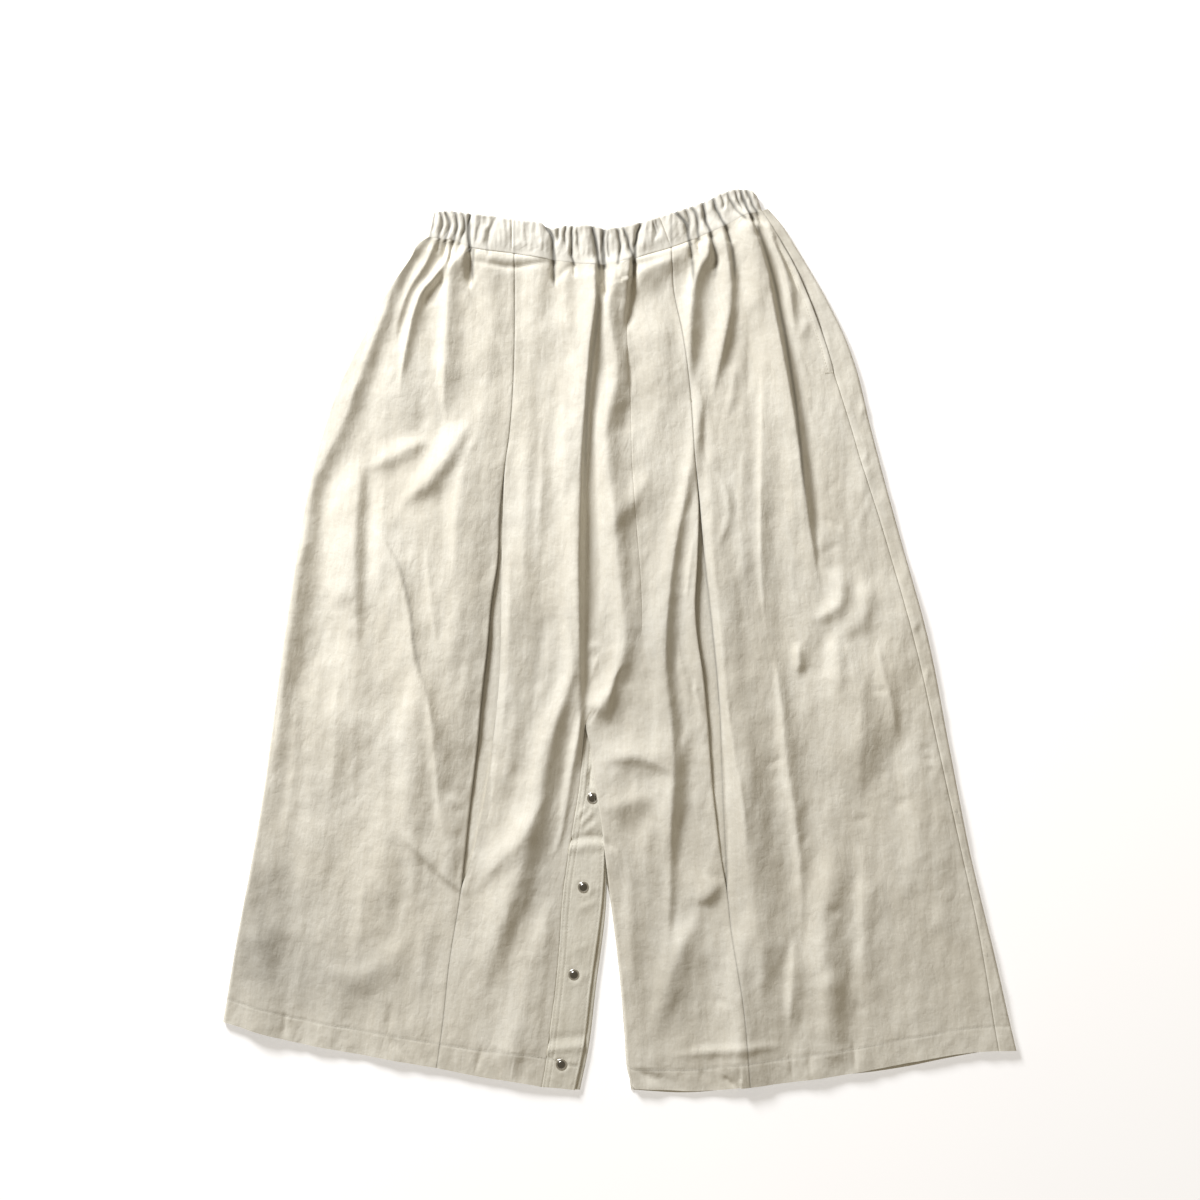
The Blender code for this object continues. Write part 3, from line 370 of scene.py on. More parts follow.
# %% Folds of the right front's side, from the waist down
RIGHT_SIDE_FOLDS = fold_table(
    ("side_roll", [(426, 240), (414, 251), (402, 271), (391, 296), (382, 322), (373, 345), (363, 372),
     (352, 400), (341, 430), (327, 458), (314, 485), (308, 520), (300, 560), (291, 600), (286, 650),
     (282, 700), (275, 750), (262, 800)], 12, 8, 6.5, 1.7, "waist", 1.7),
    ("hip_crest_1", [(437, 242), (425, 267), (411, 289), (402, 312), (395, 345)], 6, 5, 4.5, 1.6, "waist"),
    ("hip_crest_2", [(449, 240), (451, 250), (446, 264), (434, 280), (422, 294), (415, 312), (409, 338),
     (403, 372), (400, 400)], 5, 6, 6.0, 1.6, "waist"),
    ("hip_hollow", [(445, 266), (440, 282), (429, 298), (424, 315)], 5, 6, -4.5),
    ("hip_crest_3", [(466, 254), (453, 269), (449, 285), (448, 312), (446, 345), (445, 395), (448, 432)], 6,
     13, 6.5, 1.8, "waist"),
    ("hip_valley", [(471, 250), (470, 268), (469, 292)], 4, 4, -4.0, 1.8, "waist"),
    ("hip_plateau", [(492, 262), (494, 330), (488, 400)], 16, 16, 3.0, 2.0, "waist"),
    ("hip_bulge", [(410, 330), (404, 390), (398, 440)], 26, 30, 3.0),
    ("pleat_slope_right", [(490, 350), (484, 430), (475, 500), (470, 560), (464, 640), (457, 720),
     (450, 800)], 18, 22, 5.0),
    ("drag_1", [(434, 438), (402, 453), (364, 472)], 10, 9, 4.6, 1.8),
    ("drag_2", [(478, 412), (464, 433), (451, 453), (438, 471), (420, 490), (396, 507)], 14, 12, 8.5, 1.9),
    ("side_shade", [(317, 466), (312, 510), (305, 560), (296, 617), (286, 680), (278, 743), (268, 793),
     (258, 850)], 9, 14, 6.5, 1.9),
    ("drag_stripe", [(484, 424), (469, 455), (461, 490), (457, 530), (455, 575)], 8, 12, 4.5, 1.8),
    ("thigh_crest_1", [(373, 438), (363, 466), (356, 500), (354, 550), (354, 600), (356, 640), (361, 676)],
     24, 10, 8.5, 2.4),
    ("thigh_crest_2", [(388, 478), (383, 510), (382, 545), (381, 596)], 9, 14, 3.0, 1.7),
    ("long_crease", [(354, 494), (372, 524), (386, 546), (396, 564), (404, 588), (409, 611), (412, 636),
     (415, 661), (424, 691), (434, 721), (444, 756), (455, 795)], 11, 5, 6.4, 1.25, "free", 2.5),
    ("knee_slope", [(352, 612), (356, 690), (358, 780)], 26, 24, 4.5),
    ("knee_crest_1", [(421, 660), (413, 705), (410, 742), (411, 800), (413, 850), (418, 892)], 14, 19, 6.8,
     2.2),
    ("knee_crest_2", [(424, 670), (431, 706), (435, 742), (438, 775), (441, 812), (446, 840)], 5, 15, 5.2,
     1.6),
    ("knee_lobe", [(445, 788), (450, 832), (452, 884)], 17, 10, 4.6, 2.2),
    ("knee_v", [(398, 830), (414, 845), (428, 858), (443, 873), (462, 890), (472, 899)], 12, 5, 3.8, 1.7),
    ("shin_slope", [(384, 795), (388, 860), (386, 925)], 18, 16, 3.6),
    ("shin_crescent", [(322, 958), (340, 972), (362, 976), (384, 966), (402, 948), (414, 930)], 16, 15, 3.6,
     1.9),
    ("corner_fold", [(252, 800), (247, 850), (244, 900), (243, 950), (244, 1000)], 9, 34, 4.5, 1.7),
    ("corner_dark", [(244, 868), (252, 905), (262, 940), (271, 980)], 8, 13, 3.6, 1.8),
    ("corner_slope", [(262, 900), (268, 960), (262, 1030)], 20, 34, 4.5, 2.0, "hem"),
    ("outer_soft", [(322, 640), (318, 740), (312, 840), (304, 930)], 14, 20, 3.2),
)
print("folds on the right side:", len(RIGHT_SIDE_FOLDS))

# %% Folds of the two centre panels, to each side of the centre front seam
RIGHT_CENTRE_FOLDS = fold_table(
    ("centre_plateau", [(536, 262), (538, 310), (538, 370)], 16, 14, 3.0, 2.0, "waist"),
    ("centre_gather", [(566, 264), (566, 300), (569, 330), (578, 356)], 10, 9, 4.5, 1.8, "waist"),
    ("centre_lip", [(595, 264), (595, 290), (594, 310), (591, 330), (587, 370), (583, 420), (581, 450),
     (579, 510), (578.5, 560), (579, 640), (580, 690), (579, 740), (577, 790)], 16, 5, 11.0, 1.9, "waist"),
    ("centre_floor", [(594, 410), (592, 460), (593, 520), (595, 580), (597, 645)], 9, 9, -2.6, 2.6),
    ("centre_ridge", [(620, 266), (613, 288), (609, 305), (609, 318), (612, 335), (616, 354), (618, 372),
     (616, 387), (611, 402), (607, 420), (606, 436), (607, 455), (610, 480), (613, 510), (616, 540),
     (619, 570), (622, 600), (625, 630), (624, 648), (618, 670), (610, 693), (601, 706)], 10, 12, 8.5, 1.8,
     "whole"),
    ("centre_dart", [(631, 260), (628, 280), (626, 305), (623, 330)], 8, 3.5, 5.0, 1.8, "waist"),
    ("thigh_bright", [(562, 590), (567, 620), (572, 668), (563, 700), (551, 735), (540, 790), (526, 850),
     (515, 886), (505, 915), (491, 960), (480, 1000), (472, 1040)], 9, 7, 9.0, 1.9, "free", 2.7),
    ("thigh_second", [(556, 896), (537, 955), (522, 1010), (515, 1050)], 14, 18, 4.6, 1.9, "hem"),
    ("placket_stripe", [(586, 694), (579, 730), (573, 765), (567, 805), (560, 840), (548, 862)], 5, 5, 4.2,
     1.8),
    ("knee_bright", [(547, 792), (522, 836), (492, 868), (475, 896)], 14, 10, 5.0, 1.8),
    ("centre_soft_1", [(530, 400), (528, 480), (524, 560), (520, 640)], 13, 14, 4.2, 1.7),
    ("centre_soft_2", [(562, 395), (565, 450), (564, 515)], 8, 9, 3.0, 1.8),
    ("centre_soft_3", [(520, 700), (512, 750), (500, 800)], 12, 14, 3.4),
)
LEFT_CENTRE_FOLDS = fold_table(
    ("band_shade", [(636, 276), (650, 270), (668, 261), (690, 250)], 8, 15, 6.0, 1.8, "whole"),
    ("centre_valley", [(635, 260), (632, 290), (629, 312), (626, 338)], 3, 5, -3.0, 1.8, "waist"),
    ("hip_flat", [(656, 290), (654, 350), (664, 420)], 18, 20, 3.4),
    ("centre_patch", [(625, 398), (626, 440)], 8, 8, -2.4),
    ("centre_drag", [(652, 466), (636, 496), (617, 520), (607, 538)], 14, 10, 4.6, 1.9),
    ("inner_crest", [(697, 405), (694, 440), (687, 480), (680, 520), (674, 550), (669, 585), (667, 612),
     (665, 640), (665, 660), (667, 690), (670, 715), (672, 745), (673, 768), (671, 790), (670, 830),
     (670, 870), (669, 915), (664, 960), (656, 1005)], 14, 7, 8.5, 1.7),
    ("inner_top", [(700, 400), (697, 440), (690, 480), (682, 520)], 10, 8, 4.0, 1.8, "waist"),
    ("inner_low", [(655, 798), (650, 830), (647, 870), (646, 910)], 10, 12, 2.6, 1.8),
    ("thigh_wedge", [(600, 764), (616, 758), (632, 756), (650, 760), (676, 773)], 20, 9, 7.0, 1.6),
    ("thigh_v", [(657, 797), (636, 800), (614, 806), (600, 812)], 12, 14, 4.6, 1.7),
    ("foot_hollow", [(624, 662), (617, 682), (614, 702), (612, 722)], 3, 8, -2.6, 1.8),
    ("shade_crest", [(690, 720), (684, 742), (680, 765), (677, 800), (675, 835)], 8, 8, 3.2, 1.8),
    ("leg_hook", [(724, 877), (710, 892), (694, 904)], 13, 8, 4.6, 1.8),
    ("leg_wedge", [(706, 906), (693, 925), (682, 946), (672, 970), (663, 1002), (656, 1036)], 13, 14, 6.5,
     1.8),
    ("leg_shade", [(690, 800), (694, 850), (690, 880)], 14, 18, -2.4),
)
print("folds on the centre panels:", len(RIGHT_CENTRE_FOLDS) + len(LEFT_CENTRE_FOLDS))

# %% Folds of the left front's side, and the ones that only the left leg has
LEFT_SIDE_FOLDS = fold_table(
    ("gather_crest_1", [(707, 236), (708, 252), (700, 268), (694, 284), (691, 306), (690, 340), (692, 385)],
     7, 7, 7.0, 1.8, "waist"),
    ("gather_valley_1", [(716, 248), (716, 260), (710, 274)], 4, 4, -3.5),
    ("gather_crest_2", [(722, 230), (727, 262), (730, 290), (728, 315), (723, 342), (716, 376), (711, 405)],
     10, 6, 8.0, 1.8, "waist"),
    ("gather_crest_3", [(745, 222), (750, 250), (754, 290), (757, 340)], 12, 12, 3.6, 2.0, "waist"),
    ("long_ridge", [(752, 226), (760, 252), (767, 275), (771, 300), (777, 332), (783, 362), (789, 395),
     (795, 430), (800, 470), (806, 512), (812, 548), (817, 580), (821, 606)], 20, 4.6, 8.5, 1.6, "waist"),
    ("long_valley", [(760, 234), (772, 268), (783, 310), (792, 352), (802, 400), (809, 450), (815, 510),
     (819, 590)], 4, 6, -2.4, 2.0, "waist"),
    ("pressed_high", [(762, 350), (761, 430), (760, 520), (761, 580), (765, 625), (768, 650)], 3.5, 13, 3.4,
     1.4),
    ("pocket_crest", [(768, 230), (778, 255), (786, 282), (791, 308), (796, 338)], 5, 6, 4.6, 1.8, "waist"),
    ("swirl_1", [(815, 571), (831, 577), (841, 589), (838, 604), (824, 615), (806, 622)], 10, 9, 6.0, 1.8),
    ("swirl_2", [(861, 572), (867, 596), (862, 616), (849, 632), (843, 646)], 15, 10, 4.6, 1.8),
    ("knee_finger", [(836, 628), (835, 650), (836, 675), (839, 702)], 9, 8, 4.4, 2.2),
    ("pressed_low", [(770, 630), (776, 670), (781, 704), (784, 740), (787, 770), (792, 800), (796, 830),
     (799, 862), (801, 905), (801, 950)], 6, 10, 5.5, 1.6),
    ("leg_crest", [(736, 690), (742, 750), (748, 810), (753, 862), (758, 912), (763, 962), (766, 1035)], 16,
     20, 9.0, 1.9),
    ("leg_crest_low", [(752, 900), (746, 940), (742, 985), (740, 1030), (740, 1060)], 16, 36, 7.0, 1.8,
     "hem"),
    ("hem_pleat", [(794, 930), (792, 970), (790, 1010), (789, 1040)], 5, 13, 4.6, 1.6),
    ("hem_roll", [(662, 1056), (700, 1051), (750, 1046), (792, 1042)], 4, 6, 2.6, 1.8),
    ("knee_nub", [(791, 642), (797, 650), (798, 662), (797, 678)], 5, 6, 4.2, 1.8),
    ("knee_slope_left", [(842, 636), (850, 665), (856, 692), (858, 722), (858, 762), (856, 806)], 30, 16,
     7.6, 1.8),
    ("knee_line", [(875, 636), (881, 668), (887, 690), (892, 716), (898, 748)], 9, 5, 3.0, 1.5),
    ("shin_crest", [(836, 820), (831, 860), (826, 892), (823, 930), (825, 972), (828, 1012), (829, 1050)],
     17, 20, 7.5, 1.9),
    ("shin_low", [(830, 960), (834, 1050)], 14, 14, 4.5, 1.9, "hem"),
    ("shin_plateau", [(864, 836), (863, 900), (863, 960), (864, 1022)], 7, 22, 3.6, 1.9),
    ("side_soft", [(900, 720), (918, 820), (940, 930)], 18, 20, 3.0),
    ("pleat_edge_left", [(721, 640), (724, 690), (729, 725), (734, 762), (741, 800), (745, 840), (746, 870)],
     7, 4, 3.6, 1.5),
    ("pleat_ring", [(712, 470), (723, 485), (728, 502), (727, 520), (722, 536), (713, 550)], 6, 5, 2.6, 1.7),
    ("lips_left", [(692, 440), (697, 500), (696, 560), (695, 610), (700, 660), (705, 716), (711, 790),
     (720, 860)], 9, 9, 3.0),
)
LEFT_LEG_FOLDS = fold_table(
    ("inner_lip", [(586, 712), (592, 758), (597, 797), (604, 845), (608, 885), (612, 930)], 26, 34, 5.0),
)
BROAD_SLOPES = fold_table(
    ("right_thigh", [(420, 420), (430, 500), (440, 600), (446, 700), (446, 800), (436, 880)], 95, 36, 8.0,
     1.7),
    ("right_centre", [(514, 500), (512, 580), (506, 660), (498, 740), (490, 800)], 16, 55, 5.0, 1.6),
    ("left_pleat", [(708, 420), (712, 500), (716, 580), (724, 660), (736, 740), (744, 820), (750, 900)], 12,
     40, 7.5, 1.7),
    ("left_knee", [(862, 560), (870, 640), (880, 720), (888, 800)], 52, 60, 4.5, 1.8),
)
LARGE_FOLDS = RIGHT_SIDE_FOLDS + RIGHT_CENTRE_FOLDS + LEFT_CENTRE_FOLDS + LEFT_SIDE_FOLDS + BROAD_SLOPES
print("large folds in all:", len(LARGE_FOLDS))

# %% [markdown]
# ## Creases and small gathers
#
# Between the large folds lie the creases of washing and wear. They are narrower than the folds and
# only a millimetre or so deep, but the light catches each one. The short ones under the waistband
# come from the gathering stitches: wherever the band is drawn in, the cloth below it is pinched.

# %% Creases, listed one by one
def crease_table(*rows):
    """Small folds from rows of path, reaches and height, crisper than the large ones."""
    return [Fold("crease", *row) if len(row) > 4 else Fold("crease", *row, 1.6) for row in rows]


CREASES = crease_table(
    ([(469, 284), (473, 300), (480, 312), (488, 328), (497, 342), (504, 356)], 3, 3, -1.4),
    ([(326, 588), (332, 605), (339, 620)], 3.5, 3.5, -1.2),
    ([(342, 596), (352, 612), (362, 628)], 7, 7, -1.2, 1.8),
    ([(470, 590), (462, 660), (455, 720)], 6, 6, -1.4, 1.8),
    ([(426, 540), (432, 600), (440, 660)], 4, 5, 1.4, 1.7),
    ([(340, 660), (336, 740), (330, 830)], 7, 8, 1.8, 1.8),
    ([(300, 700), (293, 780), (283, 860)], 6, 8, 1.6, 1.8),
    ([(366, 860), (362, 920), (352, 975)], 8, 9, 1.6, 1.8),
    ([(306, 930), (300, 980), (290, 1022)], 6, 8, 1.6, 1.8),
    ([(446, 793), (464, 809)], 5, 5, 1.8, 1.8),
    ([(470, 830), (472, 862)], 2.5, 3, -1.4),
    ([(428, 864), (440, 874)], 5, 5, -0.6, 1.8),
    ([(420, 905), (424, 950), (418, 1000)], 7, 9, 1.8, 1.8),
    ([(392, 1000), (389, 1030)], 4, 4, -1.2, 1.8),
    ([(286, 1006), (285, 1038)], 2.5, 3, -1.2, 1.7),
    ([(388, 1032), (398, 1046), (410, 1062)], 3, 3, -1.4, 1.7),
    ([(484, 1042), (475, 1072)], 3, 4, -1.4, 1.7),
    ([(575, 264), (566, 271), (555, 283)], 3, 3.5, -1.8, 1.5),
    ([(581, 528), (581, 560), (582, 605)], 2, 2.5, -1.0),
    ([(544, 420), (541, 500), (537, 580)], 5, 6, 1.5, 1.8),
    ([(546, 600), (540, 660), (528, 720)], 7, 7, -1.6, 1.8),
    ([(492, 742), (508, 768), (522, 786)], 9, 9, -1.8, 2.0),
    ([(586, 648), (594, 645), (602, 650)], 2.5, 3, 1.2),
    ([(584, 662), (592, 655), (600, 662)], 3, 3, -1.2),
    ([(600, 652), (594, 668), (590, 684)], 3, 3, 0.9),
    ([(630, 660), (627, 692)], 7, 7, -1.4, 2.0),
    ([(677, 644), (684, 678), (691, 702)], 4, 5, 1.8, 1.7),
    ([(694, 676), (698, 700), (704, 718)], 3, 3, 1.4, 1.7),
    ([(693, 538), (689, 572), (686, 602)], 3, 3, 1.4, 1.7),
    ([(640, 560), (636, 610), (640, 655)], 7, 7, 1.8, 1.8),
    ([(604, 836), (610, 844), (617, 853)], 2.5, 3, -1.4),
    ([(628, 850), (630, 920), (634, 1000)], 7, 8, 1.8, 1.8),
    ([(700, 950), (712, 985), (722, 1020)], 8, 8, -1.4, 1.8),
    ([(712, 996), (730, 1004)], 4, 5, -1.4, 1.8),
    ([(630, 1066), (646, 1074), (666, 1082), (688, 1090)], 5, 5, -3.2),
    ([(699, 1068), (709, 1082)], 3, 3, -1.8),
    ([(721, 1073), (736, 1087)], 3, 3, -2.0),
    ([(790, 1046), (792, 1082)], 2, 2.5, -1.2),
    ([(808, 1044), (810, 1078)], 3, 3, -1.2),
    ([(852, 1036), (855, 1074)], 2, 3, -1.4),
    ([(648, 266), (676, 262)], 5, 6, 0.8, 1.8),
    ([(627, 338), (629, 362), (631, 382), (631, 402)], 2, 2.5, -1.2),
    ([(706, 400), (704, 440), (708, 472)], 4, 4, -1.4, 1.8),
    ([(748, 330), (749, 370), (746, 400)], 4, 5, -1.8, 1.8),
    ([(736, 360), (732, 392), (726, 420)], 4, 5, 1.6, 1.8),
    ([(744, 430), (741, 520), (745, 610)], 7, 8, 2.0, 1.8),
    ([(788, 440), (791, 490), (796, 545)], 6, 7, 1.5, 1.8),
    ([(738, 560), (742, 640), (746, 700)], 5, 7, -1.3, 1.8),
    ([(775, 241), (785, 262), (793, 280), (799, 298)], 2.5, 3.5, -3.4, 1.7, "waist"),
    ([(794, 338), (802, 333), (806, 318)], 4, 5, 1.4, 1.7),
    ([(799, 348), (806, 365), (813, 379), (823, 387)], 2.5, 3, -1.3),
    ([(808, 398), (813, 408), (809, 416)], 2.5, 2.5, -1.0),
    ([(822, 494), (830, 488), (842, 478)], 2.5, 3, -0.9),
    ([(819, 519), (832, 523), (844, 531)], 3, 3, -1.1),
    ([(819, 556), (830, 549), (842, 544)], 3, 3, -1.3),
    ([(852, 534), (866, 508), (872, 492)], 3, 4, 0.9),
    ([(866, 688), (876, 690), (888, 689)], 2.5, 3, -1.4),
    ([(850, 818), (860, 820), (870, 812)], 2.5, 3, -1.2),
    ([(798, 848), (805, 838), (812, 832)], 3, 4, -1.2, 1.7),
    ([(890, 808), (902, 801), (914, 798)], 2.5, 3, -1.1),
    ([(762, 766), (774, 761), (784, 754)], 2.5, 3, -1.3),
    ([(914, 746), (926, 748), (936, 752)], 2, 2.5, -0.9),
    ([(922, 762), (936, 753)], 2, 2.5, -0.9),
    ([(924, 770), (938, 770)], 2, 2.5, -0.9),
    ([(862, 402), (860, 424)], 3, 2.5, 1.0),
    ([(868, 448), (862, 466)], 3, 2.5, 1.0),
    ([(918, 618), (912, 632)], 3, 2.5, 1.0),
    ([(928, 664), (924, 690)], 3, 2.5, 1.0),
    ([(824, 906), (840, 914)], 6, 6, -1.4, 1.8),
    ([(900, 900), (930, 920), (950, 930)], 9, 9, 1.2, 1.8),
    ([(850, 1004), (868, 1010)], 5, 6, -1.4, 1.8),
    ([(452, 253), (474, 255), (512, 261), (549, 258), (570, 258)], 5, 4, 1.7, 1.8),
    ([(455, 259), (490, 265), (512, 268), (530, 266), (565, 261)], 2, 2.5, -1.8),
    ([(636, 262), (662, 255), (690, 247)], 3, 3, 1.8, 1.7, "whole"),
)
POCKET_FOLDS = fold_table(
    ("pocket_mouth", [(778, 244), (797, 277), (813, 314), (825, 350)], 7, 5, 2.4, 2.0, "waist"),
)

# %% Gathers of the band: path, reach, depth, and how deep and far each goes on below the seam
Gather = namedtuple("Gather", "path reach depth root foot ends", defaults=(0.0, 0.0, "whole"))
GATHERS = [Gather(*row) for row in (
    ([(436, 211), (434, 226), (430, 241)], 1.9, 2.6, 1.0, 12),
    ([(441, 211), (443, 224), (439, 242)], 1.6, 3.0, 1.6, 14),
    ([(446, 211), (450, 226), (446, 243)], 1.8, 3.8, 3.0, 22),
    ([(455, 212), (458, 226), (453, 244)], 1.8, 3.8, 3.2, 26),
    ([(463, 213), (466, 228), (460, 245)], 1.6, 2.6, 1.0, 12),
    ([(471, 213), (469, 232), (470, 252)], 1.9, 5.0, 2.8, 40),
    ([(482, 215), (478, 234), (474, 250)], 2.6, 1.5, 0.6, 10),
    ([(487, 215), (486, 230)], 2.2, 1.2, 0.0, 0, "free"),
    ([(497, 217), (490, 234), (488, 253)], 2.4, 1.6, 0.5, 10),
    ([(528, 221), (530, 240)], 2.6, 0.9, 0.0, 0, "free"),
    ([(546, 226), (553, 242), (554, 263)], 2.0, 5.0, 3.4, 26),
    ([(559, 226), (558, 246)], 1.7, 2.2, 0.0, 0, "waist"),
    ([(566, 224), (565, 252)], 1.7, 2.8, 0.8, 10, "waist"),
    ([(572, 224), (572, 250), (574, 266)], 1.7, 3.8, 2.2, 14),
    ([(577, 226), (579, 256)], 1.5, 2.2, 0.0, 0, "free"),
    ([(592, 224), (596, 245), (599, 268)], 1.9, 4.6, 3.0, 20),
    ([(604, 227), (603, 245), (604, 268)], 2.3, 5.0, 4.0, 36),
    ([(608, 228), (609, 258)], 1.5, 2.6, 0.0, 0, "hem"),
    ([(617, 225), (620, 248), (618, 265)], 1.8, 3.6, 1.0, 16),
    ([(622, 225), (630, 248), (633, 263)], 1.7, 4.0, 1.6, 20),
    ([(642, 220), (636, 240), (634, 262)], 1.9, 4.4, 3.6, 36),
    ([(651, 219), (656, 234), (652, 244)], 1.8, 2.0, 0.0, 0, "free"),
    ([(655, 218), (660, 236)], 1.6, 1.4, 0.0, 0, "free"),
    ([(673, 211), (686, 226), (690, 246)], 2.0, 4.8, 3.0, 18),
    ([(684, 207), (689, 222), (687, 236)], 1.6, 2.8, 0.0, 0, "waist"),
    ([(690, 206), (698, 224), (698, 241)], 1.8, 3.8, 2.0, 14),
    ([(703, 201), (705, 220), (711, 238)], 2.0, 4.8, 3.0, 20),
    ([(711, 197), (718, 214), (726, 230)], 1.9, 4.2, 2.6, 18),
    ([(720, 193), (723, 206), (720, 214)], 1.5, 2.2, 0.0, 0, "waist"),
    ([(726, 191), (731, 204), (738, 214), (745, 220)], 1.7, 3.0, 0.8, 8),
    ([(733, 189), (739, 204), (744, 213)], 1.6, 2.8, 0.0, 0, "waist"),
    ([(740, 189), (745, 206), (752, 220)], 1.9, 4.6, 3.4, 24),
    ([(746, 190), (752, 206), (757, 215)], 1.7, 3.6, 1.6, 12),
)]
ROOT_WIDER, ROOT_TURN = 1.4, 0.6


def gather_roots(gathers):
    """Each gather of the band goes on into the panel below: a short trough in the same direction."""
    roots = []
    for g in gathers:
        (high_x, high_y), (low_x, low_y) = g.path[-2:]
        lean = ROOT_TURN * (low_x - high_x) / (low_y - high_y)
        if g.root > 0.0:
            path = [(low_x, low_y), (low_x + lean * g.foot, low_y + g.foot)]
            reach = ROOT_WIDER * g.reach
            roots.append(Fold("root", path, reach, reach, -ROOT_WIDER * g.root, 1.4, "waist"))
    return roots


SMALL_FOLDS = CREASES + gather_roots(GATHERS)
print("creases:", len(CREASES), " gathers in the band:", len(GATHERS))

# %% [markdown]
# ## The unevenness of washed cloth
#
# No hand places the hundreds of slight swells that washing leaves, so they are worked out: random
# slopes on a lattice, joined smoothly, which is called gradient noise. The lattice is long in the
# direction of the warp, because cloth that hangs from a waistband swells in long narrow strips.

# %% Gradient noise as whole arrays
LATTICE = 64
Swell = namedtuple("Swell", "across along height seed")
SWELLS = [
    Swell(38.0, 130.0, 3.0, 3), Swell(22.0, 36.0, 1.5, 13), Swell(14.0, 70.0, 0.7, 5),
    Swell(11.0, 15.0, 0.65, 7), Swell(5.0, 8.0, 0.2, 11),
]


def lattice_noise(u, v, seed):
    """Gradient noise: each lattice point has a random direction, and between four of them the dot
    products with the way to each are mixed by 6t^5 - 15t^4 + 10t^3."""
    angle = np.random.default_rng(seed).uniform(0.0, 2.0 * np.pi, (LATTICE, LATTICE))
    cell_u, cell_v = np.floor(u).astype(int), np.floor(v).astype(int)
    s, t = u - cell_u, v - cell_v
    mix_s, mix_t = (w**3 * (w * (w * 6 - 15) + 10) for w in (s, t))

    def corner(du, dv):
        turn = angle[(cell_u + du) % LATTICE, (cell_v + dv) % LATTICE]
        return np.cos(turn) * (s - du) + np.sin(turn) * (t - dv)

    near = corner(0, 0) * (1 - mix_s) + corner(1, 0) * mix_s
    far = corner(0, 1) * (1 - mix_s) + corner(1, 1) * mix_s
    return near * (1 - mix_t) + far * mix_t


def swell(x, y, calm=1.0):
    """Sum of the swells; the widest is made calmer where the cloth lies pressed."""
    total = np.zeros_like(x)
    for number, s in enumerate(SWELLS):
        share = calm if number == 0 else 1.0
        total += share * s.height * lattice_noise(x / s.across, y / s.along, s.seed)
    return total


# %% [markdown]
# ## The height of the front
#
# The front is one sheet over the board: it lies 6 mm up on its back and its own folds, rises to the
# waistband, and carries the folds, creases and swells. A soft floor keeps it from sinking through
# the back. The hem is turned up twice, so it stands a little higher, with a groove at its stitches
# and small puckers where the thread draws the cloth in.

# %% Front and hem heights, in millimetres over the board
CLOTH = 1.2
HEM_CLOTH = 2.0
LAYER_GAP = 0.3
FRONT_HEIGHT = 6.0
WAIST_HEIGHT = 9.3
WAIST_FADE = 30.0
FOLD_START = 14.0
FOLD_AT_SEAM, SWELL_AT_SEAM = 0.72, 0.4
LOWEST_FRONT = 4.1
FLOOR_SOFTNESS = 0.6
HEM_RISE, HEM_GROOVE = 0.2, 0.4
PUCKER_HEIGHT, PUCKER_STEP, PUCKER_REACH = 0.32, 13.0, 9.0


def soft_floor(height, lowest):
    """softness * log(1 + exp((height - lowest) / softness)) above the lowest value."""
    return lowest + FLOOR_SOFTNESS * np.logaddexp(0.0, (height - lowest) / FLOOR_SOFTNESS)


def hem_relief(x, y, hem):
    """The turned hem: a rise below its stitch line, a groove along it and puckers beside it."""
    above = along(hem, x) - y
    from_stitch = above - HEM_DEPTH
    rise = HEM_RISE * ease(1.0, -1.0, from_stitch)
    groove = -HEM_GROOVE * np.exp(-((from_stitch / 1.0) ** 2))
    pucker = lattice_noise(x / PUCKER_STEP + 0.25 * from_stitch / PUCKER_STEP, y / 60.0, 17)
    return rise + groove + PUCKER_HEIGHT * 2.0 * pucker * np.exp(-abs(from_stitch) / PUCKER_REACH)


def front_height(x, y, hem, more_folds=()):
    """Outer face of the front: level cloth, a rise to the waist, folds, creases, swells and hem."""
    below_waist = np.maximum(y - along(WAIST_SEAM, x), 0.0)
    rise = (WAIST_HEIGHT - FRONT_HEIGHT) * np.exp(-below_waist / WAIST_FADE)
    free = ease(0.0, FOLD_START, below_waist)
    folds = fold_relief([*LARGE_FOLDS, *more_folds], x, y) * (FOLD_AT_SEAM + (1 - FOLD_AT_SEAM) * free)
    small = fold_relief(SMALL_FOLDS, x, y) + swell(x, y) * (SWELL_AT_SEAM + (1 - SWELL_AT_SEAM) * free)
    return soft_floor(FRONT_HEIGHT + rise + folds + small + hem_relief(x, y, hem), LOWEST_FRONT)


def hem_wall(rows=ROWS):
    """Wall at each row: one layer, and more where the hem is turned up."""
    return np.where((1.0 - rows) * LENGTH < HEM_DEPTH, HEM_CLOTH, CLOTH)


print("swells:", len(SWELLS))

# %% [markdown]
# ## Painted light and shade
#
# Some places on the legs are painted paler, which is painted light, and hollows and the outer
# corner are painted greyer, which is painted shade. Each patch is a soft oval, and the cloth's colour is
# multiplied by their sum.

# %% Patches of painted light and painted shade
Patch = namedtuple("Patch", "x y wide tall amount")
PAINTED_LIGHT_AND_SHADE_PATCHES = [Patch(*row) for row in (
    (370, 650, 75, 190, 0.06), (262, 925, 42, 95, -0.28), (345, 975, 50, 34, -0.17),
    (492, 630, 28, 130, -0.05), (538, 655, 22, 60, -0.10), (658, 650, 36, 120, -0.13),
    (742, 640, 32, 170, -0.06), (740, 890, 40, 80, -0.07), (668, 970, 30, 60, -0.13),
    (540, 880, 30, 60, -0.08), (900, 690, 34, 110, 0.08), (600, 250, 110, 26, -0.06),
)]


